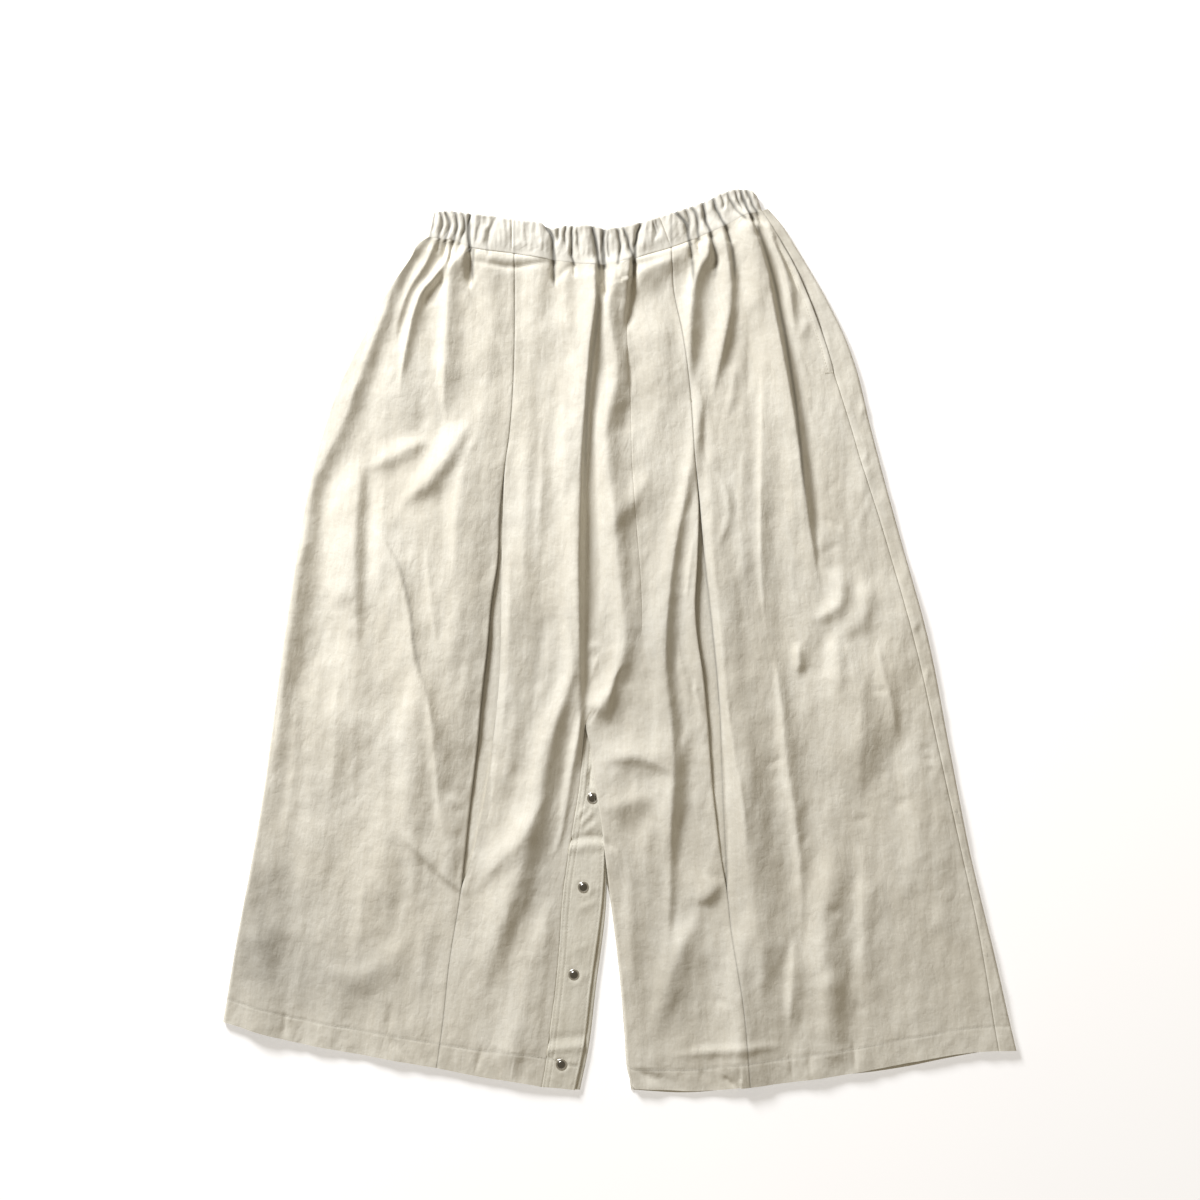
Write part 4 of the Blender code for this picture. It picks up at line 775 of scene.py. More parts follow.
def painted_patch_tone(x, y):
    """1 + the sum of amount * exp(-((x - patch x) / wide)^2 - ((y - patch y) / tall)^2)."""
    total = np.ones(np.shape(x))
    for p in PAINTED_LIGHT_AND_SHADE_PATCHES:
        total += p.amount * np.exp(-(((x - p.x) / p.wide) ** 2) - (((y - p.y) / p.tall) ** 2))
    return total


# %% Painted shade: dark lines on the floors of gathers and crisp folds, and on the sewn lines
PAINTED_SHADE_LINES = fold_table(
    ("long_ridge_foot", [(757, 228), (766, 254), (773, 278), (779, 305), (785, 336), (789, 362), (794, 395),
     (798, 430), (801, 462), (804, 512), (806, 566)], 2.0, 1.6, 0.75, 2.0, "waist"),
    ("centre_foot", [(599, 268), (599, 300), (596, 330), (591, 370), (587, 420), (585, 470), (583, 540)],
     2.0, 1.8, 0.5, 2.0, "waist"),
    ("long_crease_foot", [(376, 524), (390, 546), (400, 564), (407, 588), (412, 611), (415, 640), (419, 661),
     (428, 691), (437, 721)], 1.6, 1.6, 0.35),
    ("hip_foot", [(474, 252), (473, 270), (473, 290)], 1.8, 1.8, 0.8, 2.0, "waist"),
    ("gather_foot_1", [(554, 262), (554, 292)], 1.8, 1.8, 0.9, 2.0, "waist"),
    ("gather_foot_2", [(690, 246), (692, 262), (693, 290)], 1.8, 1.8, 0.8, 2.0, "waist"),
    ("gather_foot_3", [(711, 238), (716, 262), (713, 285)], 1.9, 1.9, 0.7, 2.0, "waist"),
    ("gather_foot_5", [(634, 262), (634, 282)], 1.6, 1.6, 0.7, 2.0, "waist"),
    ("gather_foot_4", [(726, 230), (732, 252), (735, 290)], 1.8, 1.8, 0.8, 2.0, "waist"),
)
LINE_REACH, LINE_SHARE, LINE_SHADE, LINE_FULL_DEPTH = 0.85, 1.3, 0.68, 5.0
SEAM_SHADE, HEM_SHADE, SHADE_REACH = 0.26, 0.16, 0.9
LEGS_PART = 610.0
BAND_WANDER, WANDER_ACROSS, WANDER_ALONG = 1.6, 9.0, 11.0


def gather_wander(x, y):
    """How far the gathers of the band stray sideways."""
    return BAND_WANDER * lattice_noise(x / WANDER_ACROSS, y / WANDER_ALONG, 39)


def painted_crease_shade(x, y):
    """1, less along the floors of gathers and crisp folds: painted shade where the cloth touches itself."""
    gathers = [Fold("line", g.path, LINE_REACH * g.reach, LINE_REACH * g.reach,
                    LINE_SHARE * g.depth / LINE_FULL_DEPTH, 2.0, g.ends) for g in GATHERS]
    depth = fold_relief(gathers, x + gather_wander(x, y), y) + fold_relief(PAINTED_SHADE_LINES, x, y)
    return 1.0 - LINE_SHADE * np.clip(depth, 0.0, 1.0)


def painted_seam_shade(x, y):
    """1, less on the sewn lines and the hem's stitch line: painted shade where the two sides turn down into
    the seam.
    """
    tone = np.ones(np.shape(x))
    for lines, side in ((RIGHT_PLEAT, "left"), (LEFT_PLEAT, "right"), (SIDE_SEAM, "left")):
        seam_x, seam_y = (points[:, 0] for points in line(lines, side))
        away = abs(x - np.interp(y, seam_y, seam_x)) / SHADE_REACH
        tone -= SEAM_SHADE * np.exp(-(away**2))
    hem_y = np.where(x < LEGS_PART, along(RIGHT_HEM, x), along(LEFT_HEM, x)) - HEM_DEPTH
    return tone - HEM_SHADE * np.exp(-(((y - hem_y) / SHADE_REACH) ** 2))


# The patches counted here are painted light and shade, and the dark lines are painted shade.
print("wash patches:", len(PAINTED_LIGHT_AND_SHADE_PATCHES), " dark lines:", len(GATHERS) + len(PAINTED_SHADE_LINES))

# %% [markdown]
# ## From a grid to a shell of cloth
#
# `shell` takes the outer face as a grid of points and a direction for each column, and makes a closed
# wall: the grid, a copy of it moved inwards by the wall's thickness, and a rim that joins their
# borders. Everything goes into the mesh as whole arrays. The same function gives the cloth a UV map
# in metres along the sheet, which the twill weave follows, and a mask of how near each point is to an
# edge or a seam, where washing leaves the cloth paler and the thread draws it in. It also stores a
# tone mask of painted light and shade, which the cloth's colour is multiplied by.

# %% Mesh helpers
BODY = "root"
RIM_ANGLE = math.radians(70.0)
PIECES = {}


def make_mesh(name, points, quads, uv=None, masks=None):
    """A mesh from whole arrays: points, four-cornered faces, a UV for each point, and masks."""
    mesh = bpy.data.meshes.new(name)
    mesh.vertices.add(len(points))
    mesh.vertices.foreach_set("co", points.astype(np.float32).ravel())
    mesh.loops.add(quads.size)
    mesh.loops.foreach_set("vertex_index", quads.astype(np.int32).ravel())
    mesh.polygons.add(len(quads))
    mesh.polygons.foreach_set("loop_start", np.arange(0, quads.size, quads.shape[1], dtype=np.int32))
    mesh.update(calc_edges=True)
    if uv is not None:
        layer = mesh.uv_layers.new(name="cloth")
        layer.data.foreach_set("uv", uv[quads.ravel()].astype(np.float32).ravel())
    for mask, values in (masks or {}).items():
        mesh.attributes.new(mask, "FLOAT", "POINT").data.foreach_set("value", values.astype(np.float32))
    mesh.shade_smooth()
    mesh.set_sharp_from_angle(angle=RIM_ANGLE)
    piece = bpy.data.objects.new(name, mesh)
    bpy.context.scene.collection.objects.link(piece)
    PIECES[name] = piece
    return piece


def grid_quads(rows, columns):
    """The index grid, and its faces, each seen anticlockwise from above."""
    index = np.arange(rows * columns).reshape(rows, columns)
    quads = np.stack([index[:-1, :-1], index[1:, :-1], index[1:, 1:], index[:-1, 1:]], -1)
    return index, quads.reshape(-1, 4)


def sheet_uv(outer, grain_side):
    """UV in metres: u is the length along the row from the side that lies on the straight grain, v
    the length down the middle column, so the weave follows the cloth round a fold."""
    across = np.linalg.norm(np.diff(outer, axis=1), axis=-1)
    from_first = np.concatenate([np.zeros((len(outer), 1)), np.cumsum(across, axis=1)], axis=1)
    u = -from_first if grain_side == "first" else from_first[:, -1:] - from_first
    middle = outer[:, outer.shape[1] // 2]
    down = np.concatenate([[0.0], np.cumsum(np.linalg.norm(np.diff(middle, axis=0), axis=-1))])
    return np.stack([-u, np.broadcast_to(-down[:, None], u.shape)], -1)


def shell(name, outer, direction, thickness, wear, faces_up=True, grain_side="last"):
    """A closed wall of cloth: the outer grid, a copy moved against the direction, and a rim."""
    inner = outer - direction * np.broadcast_to(thickness, outer.shape[:2])[..., None] * MM
    index, near = grid_quads(*outer.shape[:2])
    under = index.size
    ring = np.concatenate([index[0], index[1:, -1], index[-1, -2::-1], index[-2:0:-1, 0]])
    after = np.roll(ring, -1)
    rim = np.stack([ring, after, after + under, ring + under], -1)
    quads = np.concatenate([near, near[:, ::-1] + under, rim])
    if not faces_up:
        quads = quads[:, ::-1]
    points = np.concatenate([outer.reshape(-1, 3), inner.reshape(-1, 3)])
    uv = np.tile(sheet_uv(outer, grain_side).reshape(-1, 2), (2, 1))
    wear = np.tile(np.broadcast_to(wear, outer.shape[:2]).ravel(), 2)
    place = off_board(points)
    # The tone mask is painted light and shade: the painted patches, and on faces that look up the painted
    # shade of crease floors, seams and the hem's stitch line.
    tone = painted_patch_tone(*place) * (painted_crease_shade(*place) * painted_seam_shade(*place) if faces_up else 1.0)
    piece = make_mesh(name, points, quads, uv, {"wear": wear, "tone": tone})
    print(f"{name}: {len(quads)} faces")
    return piece


def upright(shape):
    """The direction straight up, for every point of a grid."""
    return np.broadcast_to(np.array([0.0, 0.0, 1.0]), (*shape, 3))


# %% [markdown]
# ## The four front panels
#
# Each panel is a grid between two lengthwise lines. Its columns are close together beside a seam,
# because the cloth dips there within two or three millimetres. Along an open pleat the folded edge
# rolls down towards the strip behind it. The two sides differ: the right front wraps under the
# garment's side, and on the left the back wraps over to the front.

# %% Columns, seams and folded edges of a panel
SEAM_REACH = 0.7
PRINCESS_DEPTH, CENTRE_DEPTH, SIDE_DEPTH = 0.9, 0.35, 0.8
LOW_SEAM_SHARE, LOW_SEAM_STARTS = 0.5, (850.0, 900.0)
PLACKET_SEAM_DEPTH = 0.6 * SIDE_DEPTH
CENTRE_SEAM_FADES, PLACKET_SEAM_STARTS = (655.0, 610.0), (690.0, 725.0)
SEAM_RIDGE, SEAM_RIDGE_AT, SEAM_RIDGE_REACH = 0.12, 4.0, 3.0
PLACKET_LEVEL, PLACKET_LEVEL_REACH, PLACKET_LEVEL_STARTS = 0.85, 16.0, (745.0, 790.0)
PLEAT_FULL_OPEN = 6.0
PLEAT_FALL, PLEAT_ROUND = 1.2, 2.2
FAR_FALL, FAR_REACH, FAR_LOWEST = 2.4, 9.0, 5.8
EDGE_RADIUS = 3.0
UNDER_LAP = 22.0
NEAR_EDGE = np.array([[0.0, 0.3, 0.7, 1.2, 1.8, 2.6, 3.6, 5.0]])
WAIST_GROOVE, WAIST_REACH = 0.7, 1.2
PUCKER_SHARE, PUCKER_SPACE = 0.6, 11.0
SEAM_SHOWN = [
    (427, 0.3), (466, 0.2), (478, 1.0), (542, 1.0), (552, 0.3), (576, 0.45), (592, 0.45), (602, 0.1),
    (630, 0.1), (642, 1.0), (684, 1.0), (694, 0.3), (780, 0.2),
]
WEAR_REACH, WEAR_STRENGTH = 1.3, 0.2


def column_shares(width, columns, fine_left=True):
    """Column places (0 to 1) across a panel of this width, close together near its seams."""
    left = NEAR_EDGE / width if fine_left else 0.0 * width
    right = 1.0 - NEAR_EDGE[:, ::-1] / width
    even = np.linspace(0.0, 1.0, columns)[None, 1:-1]
    return np.concatenate([left, left[:, -1:] + (right[:, :1] - left[:, -1:]) * even, right], axis=1)


def seam_relief(distance, place, depth, seed):
    """A sewn seam: a groove on its line, the ridge of the seam allowance beside it, and puckers."""
    draw = 1.0 + PUCKER_SHARE * lattice_noise(place / PUCKER_SPACE, 0.0 * place + seed, seed)
    groove = -depth * draw * np.exp(-abs(distance) / SEAM_REACH)
    ridge = SEAM_RIDGE * np.exp(-(((distance - SEAM_RIDGE_AT) / SEAM_RIDGE_REACH) ** 2))
    return groove + ridge * np.minimum(depth, 1.0)


def centre_depth(y, placket=True):
    """The centre seam's groove: faint, lost round the crotch, and clearer beside the placket."""
    depth = CENTRE_DEPTH * ease(*CENTRE_SEAM_FADES, y)
    return depth + PLACKET_SEAM_DEPTH * ease(*PLACKET_SEAM_STARTS, y) if placket else depth


def princess_depth(y):
    """The front seams' groove: full above the pleat, and flatter where it is pressed below it."""
    return PRINCESS_DEPTH * (1.0 - LOW_SEAM_SHARE * ease(*LOW_SEAM_STARTS, y))


def open_share(edges, rows=ROWS):
    """How far a pleat is open at each row: 0 where it is sewn shut, 1 where it gapes."""
    width = line(edges, "right", rows)[0] - line(edges, "left", rows)[0]
    return np.clip(width / PLEAT_FULL_OPEN, 0.0, 1.0)


def near_pleat_edge(distance, opened):
    """The pleat's upper edge is a crisp fold, which rolls down as far as it is open."""
    return -PLEAT_FALL * opened * rolled(distance, PLEAT_ROUND)


def far_pleat_edge(z, distance, opened):
    """The pleat's other edge slopes softly down to the strip behind it."""
    drop = FAR_FALL * opened * ease(FAR_REACH, 0.0, distance)
    return -np.minimum(drop, np.maximum(z - FAR_LOWEST, 0.0))


def seam_shown(x):
    """How clearly the waist seam shows: fully on the smooth stretches, less where gathers cross it."""
    return flow([s[0] for s in SEAM_SHOWN], [s[1] for s in SEAM_SHOWN], x)


def waist_tuck(x, y):
    """The top of a panel dips under the band along the waist seam."""
    depth = WAIST_GROOVE * seam_shown(x)
    return -depth * np.exp(-np.maximum(y - along(WAIST_SEAM, x), 0.0) / WAIST_REACH)


def wear_near(*distances):
    """Strongest on an edge or seam, fading within a few millimetres."""
    return WEAR_STRENGTH * np.max([np.exp(-d / WEAR_REACH) for d in np.broadcast_arrays(*distances)], axis=0)


def panel_grid(left, right, columns, hem):
    """Board x and y of a panel between two lines, and how far each point is from either line."""
    width = right[0] - left[0]
    x = left[0] + width * column_shares(width, columns)
    return x, row_y(x, left, right, hem), x - left[0], right[0] - x


def wrapped(shape, first, last, side):
    """Directions of a sheet that lies under the garment up to its first column of the turn, goes
    half a circle up round one side (-1 the board's left, 1 its right), and then lies on top."""
    direction = np.array(upright(shape))
    direction[:, :first] = (0.0, 0.0, -1.0)
    direction[:, first:last, 0] = side * np.sin(TURN)
    direction[:, first:last, 2] = -np.cos(TURN)
    return direction


# %% Right front: the side panel turns round the right side and ends under the garment
SIDE_COLUMNS = 134
ROLL_STEPS = 12
UNDER_STEPS = 8
TURN = np.linspace(0.0, np.pi, ROLL_STEPS + 1)[None, :]


def right_side_panel():
    """Three runs of columns: flat under the side, half a circle up round it, and across the front."""
    left, right = line(LEFT_SIDE, "left"), line(RIGHT_PLEAT, "left")
    start_x = left[0] + EDGE_RADIUS
    width = right[0] - start_x
    shares = column_shares(width, SIDE_COLUMNS, fine_left=False)[:, 1:]
    under_x = left[0] + np.linspace(UNDER_LAP, EDGE_RADIUS, UNDER_STEPS)[None, :-1]
    x = np.concatenate([under_x, start_x - EDGE_RADIUS * np.sin(TURN), start_x + width * shares], axis=1)
    y = row_y(x, left, right, RIGHT_HEM)
    from_right = right[0] - x
    z = front_height(x, y, RIGHT_HEM) + waist_tuck(x, y)
    opened = open_share(RIGHT_PLEAT)
    z += seam_relief(from_right, y, princess_depth(y), 21) * (1 - opened)
    z += near_pleat_edge(from_right, opened)
    first, last = UNDER_STEPS - 1, UNDER_STEPS + ROLL_STEPS
    z[:, first:last] = z[:, last - 1, None] * 0.5 * (1.0 - np.cos(TURN))
    z[:, :first] = 0.0
    wear = wear_near(from_right, abs(along(RIGHT_HEM, x) - y), abs(x - left[0]) + 1.0)
    direction = wrapped(x.shape, first, last, -1)
    return shell("right_side_panel", on_board(x, y, z), direction, hem_wall(), wear)


right_side_panel()


# %% Right front: the centre panel, from the pleat to the centre front seam
CENTRE_COLUMNS = 92


def right_centre_panel():
    """A grid between the pleat and the centre front; below the crotch it ends at the placket, whose
    height it comes down to."""
    left, right = line(RIGHT_PLEAT, "right"), line(CENTRE_FRONT, "left")
    x, y, from_left, from_right = panel_grid(left, right, CENTRE_COLUMNS, RIGHT_HEM)
    opened = open_share(RIGHT_PLEAT)
    z = front_height(x, y, RIGHT_HEM) + waist_tuck(x, y)
    z += seam_relief(from_left, y, princess_depth(y), 21) * (1 - opened)
    z += far_pleat_edge(z, from_left, opened)
    beside = ease(PLACKET_LEVEL_REACH, 0.0, from_right) * ease(*PLACKET_LEVEL_STARTS, y)
    z += PLACKET_LEVEL * beside * (FRONT_HEIGHT - z)
    z += seam_relief(from_right, y, centre_depth(y), 23)
    wear = wear_near(from_left, from_right, abs(along(RIGHT_HEM, x) - y))
    outer = on_board(x, y, z)
    return shell("right_centre_panel", outer, upright(x.shape), hem_wall(), wear, grain_side="first")


right_centre_panel()


# %% Left front: the centre panel, whose inner edge lies over the placket and then turns down
INNER_COLUMNS = 78
OVERLAP_BEGINS, OVERLAP_ENDS = (738.0, 785.0), (885.0, 915.0)
LIP_FALL = 1.0
LIP_TILT = 0.35
LIP_ROUND = 2.8


def left_centre_panel():
    """Down to the crotch its left edge is the centre front seam. Below it the edge lies free over
    the placket, tilted outwards, and then rolls down to the back along the inseam."""
    left, right = line(CENTRE_FRONT, "right"), line(LEFT_PLEAT, "left")
    x, y, from_left, from_right = panel_grid(left, right, INNER_COLUMNS, LEFT_HEM)
    over = ease(*OVERLAP_BEGINS, y[:, :1])
    turned = ease(*OVERLAP_ENDS, y[:, :1])
    opened = open_share(LEFT_PLEAT)
    z = front_height(x, y, LEFT_HEM, LEFT_LEG_FOLDS) + waist_tuck(x, y)
    z += seam_relief(from_left, y, centre_depth(y, False), 23) * (1 - over)
    z += seam_relief(from_right, y, princess_depth(y), 29) * (1 - opened)
    z += near_pleat_edge(from_right, opened)
    to_back = z[:, :1] - hem_wall() - LAYER_GAP
    z -= (LIP_FALL * over * (1 - turned) + to_back * turned) * rolled(from_left, LIP_ROUND)
    direction = np.array(upright(x.shape))
    tilt = (LIP_TILT * over + (np.pi / 2 - LIP_TILT) * turned) * rolled(from_left, LIP_ROUND)
    direction[..., 0] = -np.sin(tilt)
    direction[..., 2] = np.cos(tilt)
    wear = wear_near(from_left, from_right, abs(along(LEFT_HEM, x) - y))
    return shell("left_centre_panel", on_board(x, y, z), direction, hem_wall(), wear)


left_centre_panel()


# %% Left front: the side panel, whose outer edge is the side seam and the pocket's mouth
POCKET_TOP, POCKET_FOOT = 222.0, 374.0
POCKET_STITCH, POCKET_GROOVE, POCKET_GROOVE_REACH, POCKET_RISE = 6.0, 0.6, 1.1, 0.7
POCKET_BEGIN, POCKET_END, POCKET_RIM = 8.0, 6.0, (8.0, 4.0)
POCKET_HIDES_SEAM = 0.7


def left_side_panel():
    """A grid between the pleat and the side seam. Along the pocket its edge stands proud, with a
    row of stitches a little inside."""
    left, right = line(LEFT_PLEAT, "right"), line(SIDE_SEAM, "left")
    x, y, from_left, from_right = panel_grid(left, right, SIDE_COLUMNS, LEFT_HEM)
    opened = open_share(LEFT_PLEAT)
    pocket = ease(POCKET_TOP - POCKET_BEGIN, POCKET_TOP, y) * ease(POCKET_FOOT, POCKET_FOOT - POCKET_END, y)
    z = front_height(x, y, LEFT_HEM, [*LEFT_LEG_FOLDS, *POCKET_FOLDS]) + waist_tuck(x, y)
    z += seam_relief(from_left, y, princess_depth(y), 29) * (1 - opened)
    z += far_pleat_edge(z, from_left, opened)
    z += seam_relief(from_right, y, SIDE_DEPTH, 31) * (1 - POCKET_HIDES_SEAM * pocket)
    groove = POCKET_GROOVE * np.exp(-(((from_right - POCKET_STITCH) / POCKET_GROOVE_REACH) ** 2))
    z += pocket * (POCKET_RISE * ease(*POCKET_RIM, from_right) - groove)
    wear = wear_near(from_left, from_right, abs(along(LEFT_HEM, x) - y))
    outer = on_board(x, y, z)
    return shell("left_side_panel", outer, upright(x.shape), hem_wall(), wear, grain_side="first")


left_side_panel()

# %% [markdown]
# ## Strips behind the open pleats
#
# Where a pleat opens, the strip behind it shows in shadow. It is a plain lengthwise piece, a little
# higher than the back, with its edges sewn to the panels out of sight.

# %% Pleat underlays
PLEAT_BACKING = 22.0
PLEAT_TOP, PLEAT_FOOT = 440.0, 912.0
UNDERLAY_HEIGHT = CLOTH + LAYER_GAP + CLOTH
UNDERLAY_COLUMNS = 48
UNDERLAY_RISE, UNDERLAY_BLEND = 1.6, 4.0
UNDERLAY_SWELL, UNDERLAY_ACROSS, UNDERLAY_ALONG = 0.5, 14.0, 90.0


def pleat_underlay(name, edges, seed):
    """A grid from behind one pleat edge to behind the other, over the rows that the pleat opens. It
    is pushed up a little in the gap, where nothing presses on it."""
    left, right = line(edges, "left"), line(edges, "right")
    shown = ((left[1] > PLEAT_TOP) & (left[1] < PLEAT_FOOT))[:, 0]
    share = np.linspace(0.0, 1.0, UNDERLAY_COLUMNS)[None, :]
    low, high = left[0] - PLEAT_BACKING, right[0] + PLEAT_BACKING
    x = (low + (high - low) * share)[shown]
    y = (left[1] + (right[1] - left[1]) * share)[shown]
    inside = np.minimum(x - left[0][shown], right[0][shown] - x)
    z = UNDERLAY_HEIGHT + UNDERLAY_RISE * ease(-UNDERLAY_BLEND, 0.0, inside) * open_share(edges)[shown]
    z += UNDERLAY_SWELL * lattice_noise(x / UNDERLAY_ACROSS, y / UNDERLAY_ALONG, seed)
    return shell(name, on_board(x, y, z), upright(x.shape), CLOTH, 0.0)


pleat_underlay("right_pleat_strip", RIGHT_PLEAT, 41)
pleat_underlay("left_pleat_strip", LEFT_PLEAT, 43)

# %% [markdown]
# ## The two backs
#
# The backs lie on the floor under the front. The right one is plain. The left one comes round the
# left side and lies on the front up to the side seam, so its turn is the garment's left outline.

# %% Backs
BACK_COLUMNS = 34
BACK_ROWS = ROWS[::2] if (len(ROWS) - 1) % 2 == 0 else np.concatenate([ROWS[:-1:2], ROWS[-1:]])
LAP_COLUMNS = 16
BACK_FOLDS = fold_table(
    ("back_1", [(470, 262), (462, 330), (452, 420)], 6, 8, 1.5, 2.0, "waist"),
    ("back_2", [(520, 262), (522, 340), (515, 430)], 8, 6, 1.4, 2.0, "waist"),
    ("back_3", [(575, 268), (570, 360), (560, 470)], 6, 9, 1.5, 2.0, "waist"),
    ("back_4", [(650, 258), (655, 340), (668, 450)], 8, 6, 1.5, 2.0, "waist"),
    ("back_5", [(705, 240), (720, 330), (742, 430)], 6, 8, 1.4, 2.0, "waist"),
    ("back_6", [(330, 560), (350, 690), (345, 820)], 14, 10, 1.4, 1.7),
    ("back_7", [(430, 600), (470, 700), (520, 770)], 12, 10, 1.3, 1.7),
    ("back_8", [(560, 700), (540, 800), (500, 900)], 10, 12, 1.4, 1.7),
    ("back_9", [(760, 560), (745, 680), (760, 800)], 12, 10, 1.4, 1.7),
    ("back_10", [(860, 640), (845, 740), (800, 830)], 10, 12, 1.3, 1.7),
    ("back_11", [(700, 820), (680, 930), (690, 1030)], 10, 10, 1.3, 1.7, "hem"),
)
BACK_LIFT, BACK_PRESSED, BACK_EDGE, BACK_SWELL = 1.3, 0.3, 12.0, 0.25


def back_height(x, y, from_edge):
    """How far the underside lifts off the floor: folds and swells, less what is pressed flat."""
    lift = fold_relief(BACK_FOLDS, x, y) + BACK_SWELL * swell(x, y) - BACK_PRESSED
    return np.clip(lift, 0.0, BACK_LIFT) * ease(0.0, BACK_EDGE, from_edge)


def right_back_panel():
    """A flat grid from behind the right front's lap to the centre back."""
    rows = BACK_ROWS
    side, pleat = line(LEFT_SIDE, "left", rows), line(RIGHT_PLEAT, "left", rows)
    start_x = side[0] + UNDER_LAP
    start = start_x, row_y(start_x, side, pleat, RIGHT_HEM, rows)
    end = line(CENTRE_BACK, "left", rows)
    x = start[0] + (end[0] - start[0]) * np.linspace(0.0, 1.0, BACK_COLUMNS)[None, :]
    y = row_y(x, start, end, RIGHT_HEM, rows)
    wear = wear_near(end[0] - x, abs(along(RIGHT_HEM, x) - y))
    z = back_height(x, y, np.minimum(x - start[0], end[0] - x))
    return shell("right_back_panel", on_board(x, y, z), -upright(x.shape), hem_wall(rows), wear, False)


def left_back_panel():
    """Three runs of columns: flat on the floor, half a circle up round the side, and the lap."""
    rows = ROWS
    start = line(CENTRE_BACK, "right", rows)
    edge, seam = line(RIGHT_EDGE, "left", rows), line(SIDE_SEAM, "right", rows)
    flat_end = edge[0] - EDGE_RADIUS
    flat_x = start[0] + (flat_end - start[0]) * np.linspace(0.0, 1.0, BACK_COLUMNS)[None, :-1]
    lap_shares = 1.0 - column_shares(flat_end - seam[0], LAP_COLUMNS)[:, ::-1][:, 1:]
    lap_x = flat_end + (seam[0] - flat_end) * lap_shares
    x = np.concatenate([flat_x, flat_end + EDGE_RADIUS * np.sin(TURN), lap_x], axis=1)
    y = row_y(x, start, edge, LEFT_BACK_HEM, rows)
    on_top = np.s_[:, -lap_x.shape[1]:]
    y[on_top] = seam[1] + (edge[1] - seam[1]) * (lap_x - seam[0]) / (edge[0] - seam[0])
    from_seam = x - seam[0]
    z = front_height(x, y, LEFT_BACK_HEM, LEFT_LEG_FOLDS)
    z[on_top] += seam_relief(from_seam, y, SIDE_DEPTH, 31)[on_top]
    first, last = BACK_COLUMNS - 1, BACK_COLUMNS + ROLL_STEPS
    z[:, first:last] = z[:, last, None] * 0.5 * (1.0 - np.cos(TURN))
    z[:, :first] = back_height(x, y, np.minimum(x - start[0], flat_end - x))[:, :first]
    direction = wrapped(x.shape, first, last, 1)
    wear = wear_near(abs(from_seam), abs(along(LEFT_BACK_HEM, x) - y), abs(x - edge[0]) + 1.0)
    return shell("left_back_panel", on_board(x, y, z), direction, hem_wall(rows), wear, False)


right_back_panel()
left_back_panel()

# %% [markdown]
# ## The snapped placket
#
# The right leg's inseam opens: a strip of doubled twill lies on another, and four snaps close them.
# The front strip has been pressed and pulled many times, so it has its own crosswise creases, and
# the cloth is drawn up a little round each snap.

# %% Placket strips
PLACKET_CLOTH = 1.5
PLACKET_COLUMNS = 40
PLACKET_DIP, PLACKET_RISE = 2.6, (775.0, 722.0)
PLACKET_STITCHES = (2.4, 7.0)
PLACKET_EDGE_STITCH = 3.0
PLACKET_GROOVE, PLACKET_EDGE_GROOVE, GROOVE_REACH = 0.3, 0.35, 0.9
UNDER_PLACKET_STEP = 1.5
UNDER_PLACKET_TOP = 800.0
SNAPS = [(592.5, 797.5), (583.4, 886.4), (574.0, 973.8), (561.4, 1063.3)]
SNAP_RADIUS = 5.75
SNAP_PULL, SNAP_DRAWN, SNAP_RING, SNAP_RING_REACH = 0.8, 0.4, 2.5, 3.0
PLACKET_SWELL, PLACKET_CALM = 0.5, 0.2
PLACKET_EDGE_FALL, UNDER_EDGE_FALL, PLACKET_ROUND = 0.7, 0.6, 1.6
PLACKET_FOLDS = fold_table(
    ("pressed_valley", [(572, 839), (588, 836), (606, 836)], 2.2, 2.6, -1.5, 2.0, "whole"),
    ("pressed_ridge", [(568, 848), (588, 845), (606, 844)], 3.5, 5.0, 1.3, 2.0, "whole"),
    ("below_first_snap", [(577, 830), (586, 818), (598, 808)], 3, 3, 1.5, 1.8),
    ("below_first_snap_2", [(575, 820), (582, 811), (590, 806)], 2.5, 3, 1.3, 1.7),
    ("below_first_snap_3", [(582, 834), (592, 826), (601, 822)], 2.5, 3, 1.2, 1.7),
    ("covered_fold_1", [(586, 770), (590, 781), (585, 792)], 2, 2, -1.2, 1.6),
    ("covered_fold_2", [(592, 764), (590, 776), (592, 786)], 2, 2, -1.5, 1.6),
    ("covered_fold_3", [(586, 716), (587, 730), (585, 745)], 2, 2, -0.9, 1.6),
    ("above_first_snap", [(584, 800), (590, 788), (594, 778)], 2.4, 2.6, -0.9),
    ("second_snap_pull", [(588, 887), (596, 887), (604, 888)], 2.2, 2.2, 0.6),
    ("second_below", [(574, 910), (586, 905), (600, 899)], 3, 4, 0.8),
    ("third_above", [(566, 952), (578, 948), (592, 944)], 4, 4, 0.7),
    ("third_pull", [(579, 974), (586, 975), (592, 975)], 2.2, 2.2, 0.5),
    ("low_valley", [(545, 1040), (562, 1036), (583, 1034)], 4, 4, -0.9, 2.0, "whole"),
    ("low_ridge", [(543, 1050), (562, 1047), (583, 1045)], 3.5, 4.5, 1.4, 2.0, "whole"),
    ("hem_stitch", [(546, 1055), (560, 1062), (578, 1065)], 1.2, 1.2, -0.6, 2.0, "whole"),
)


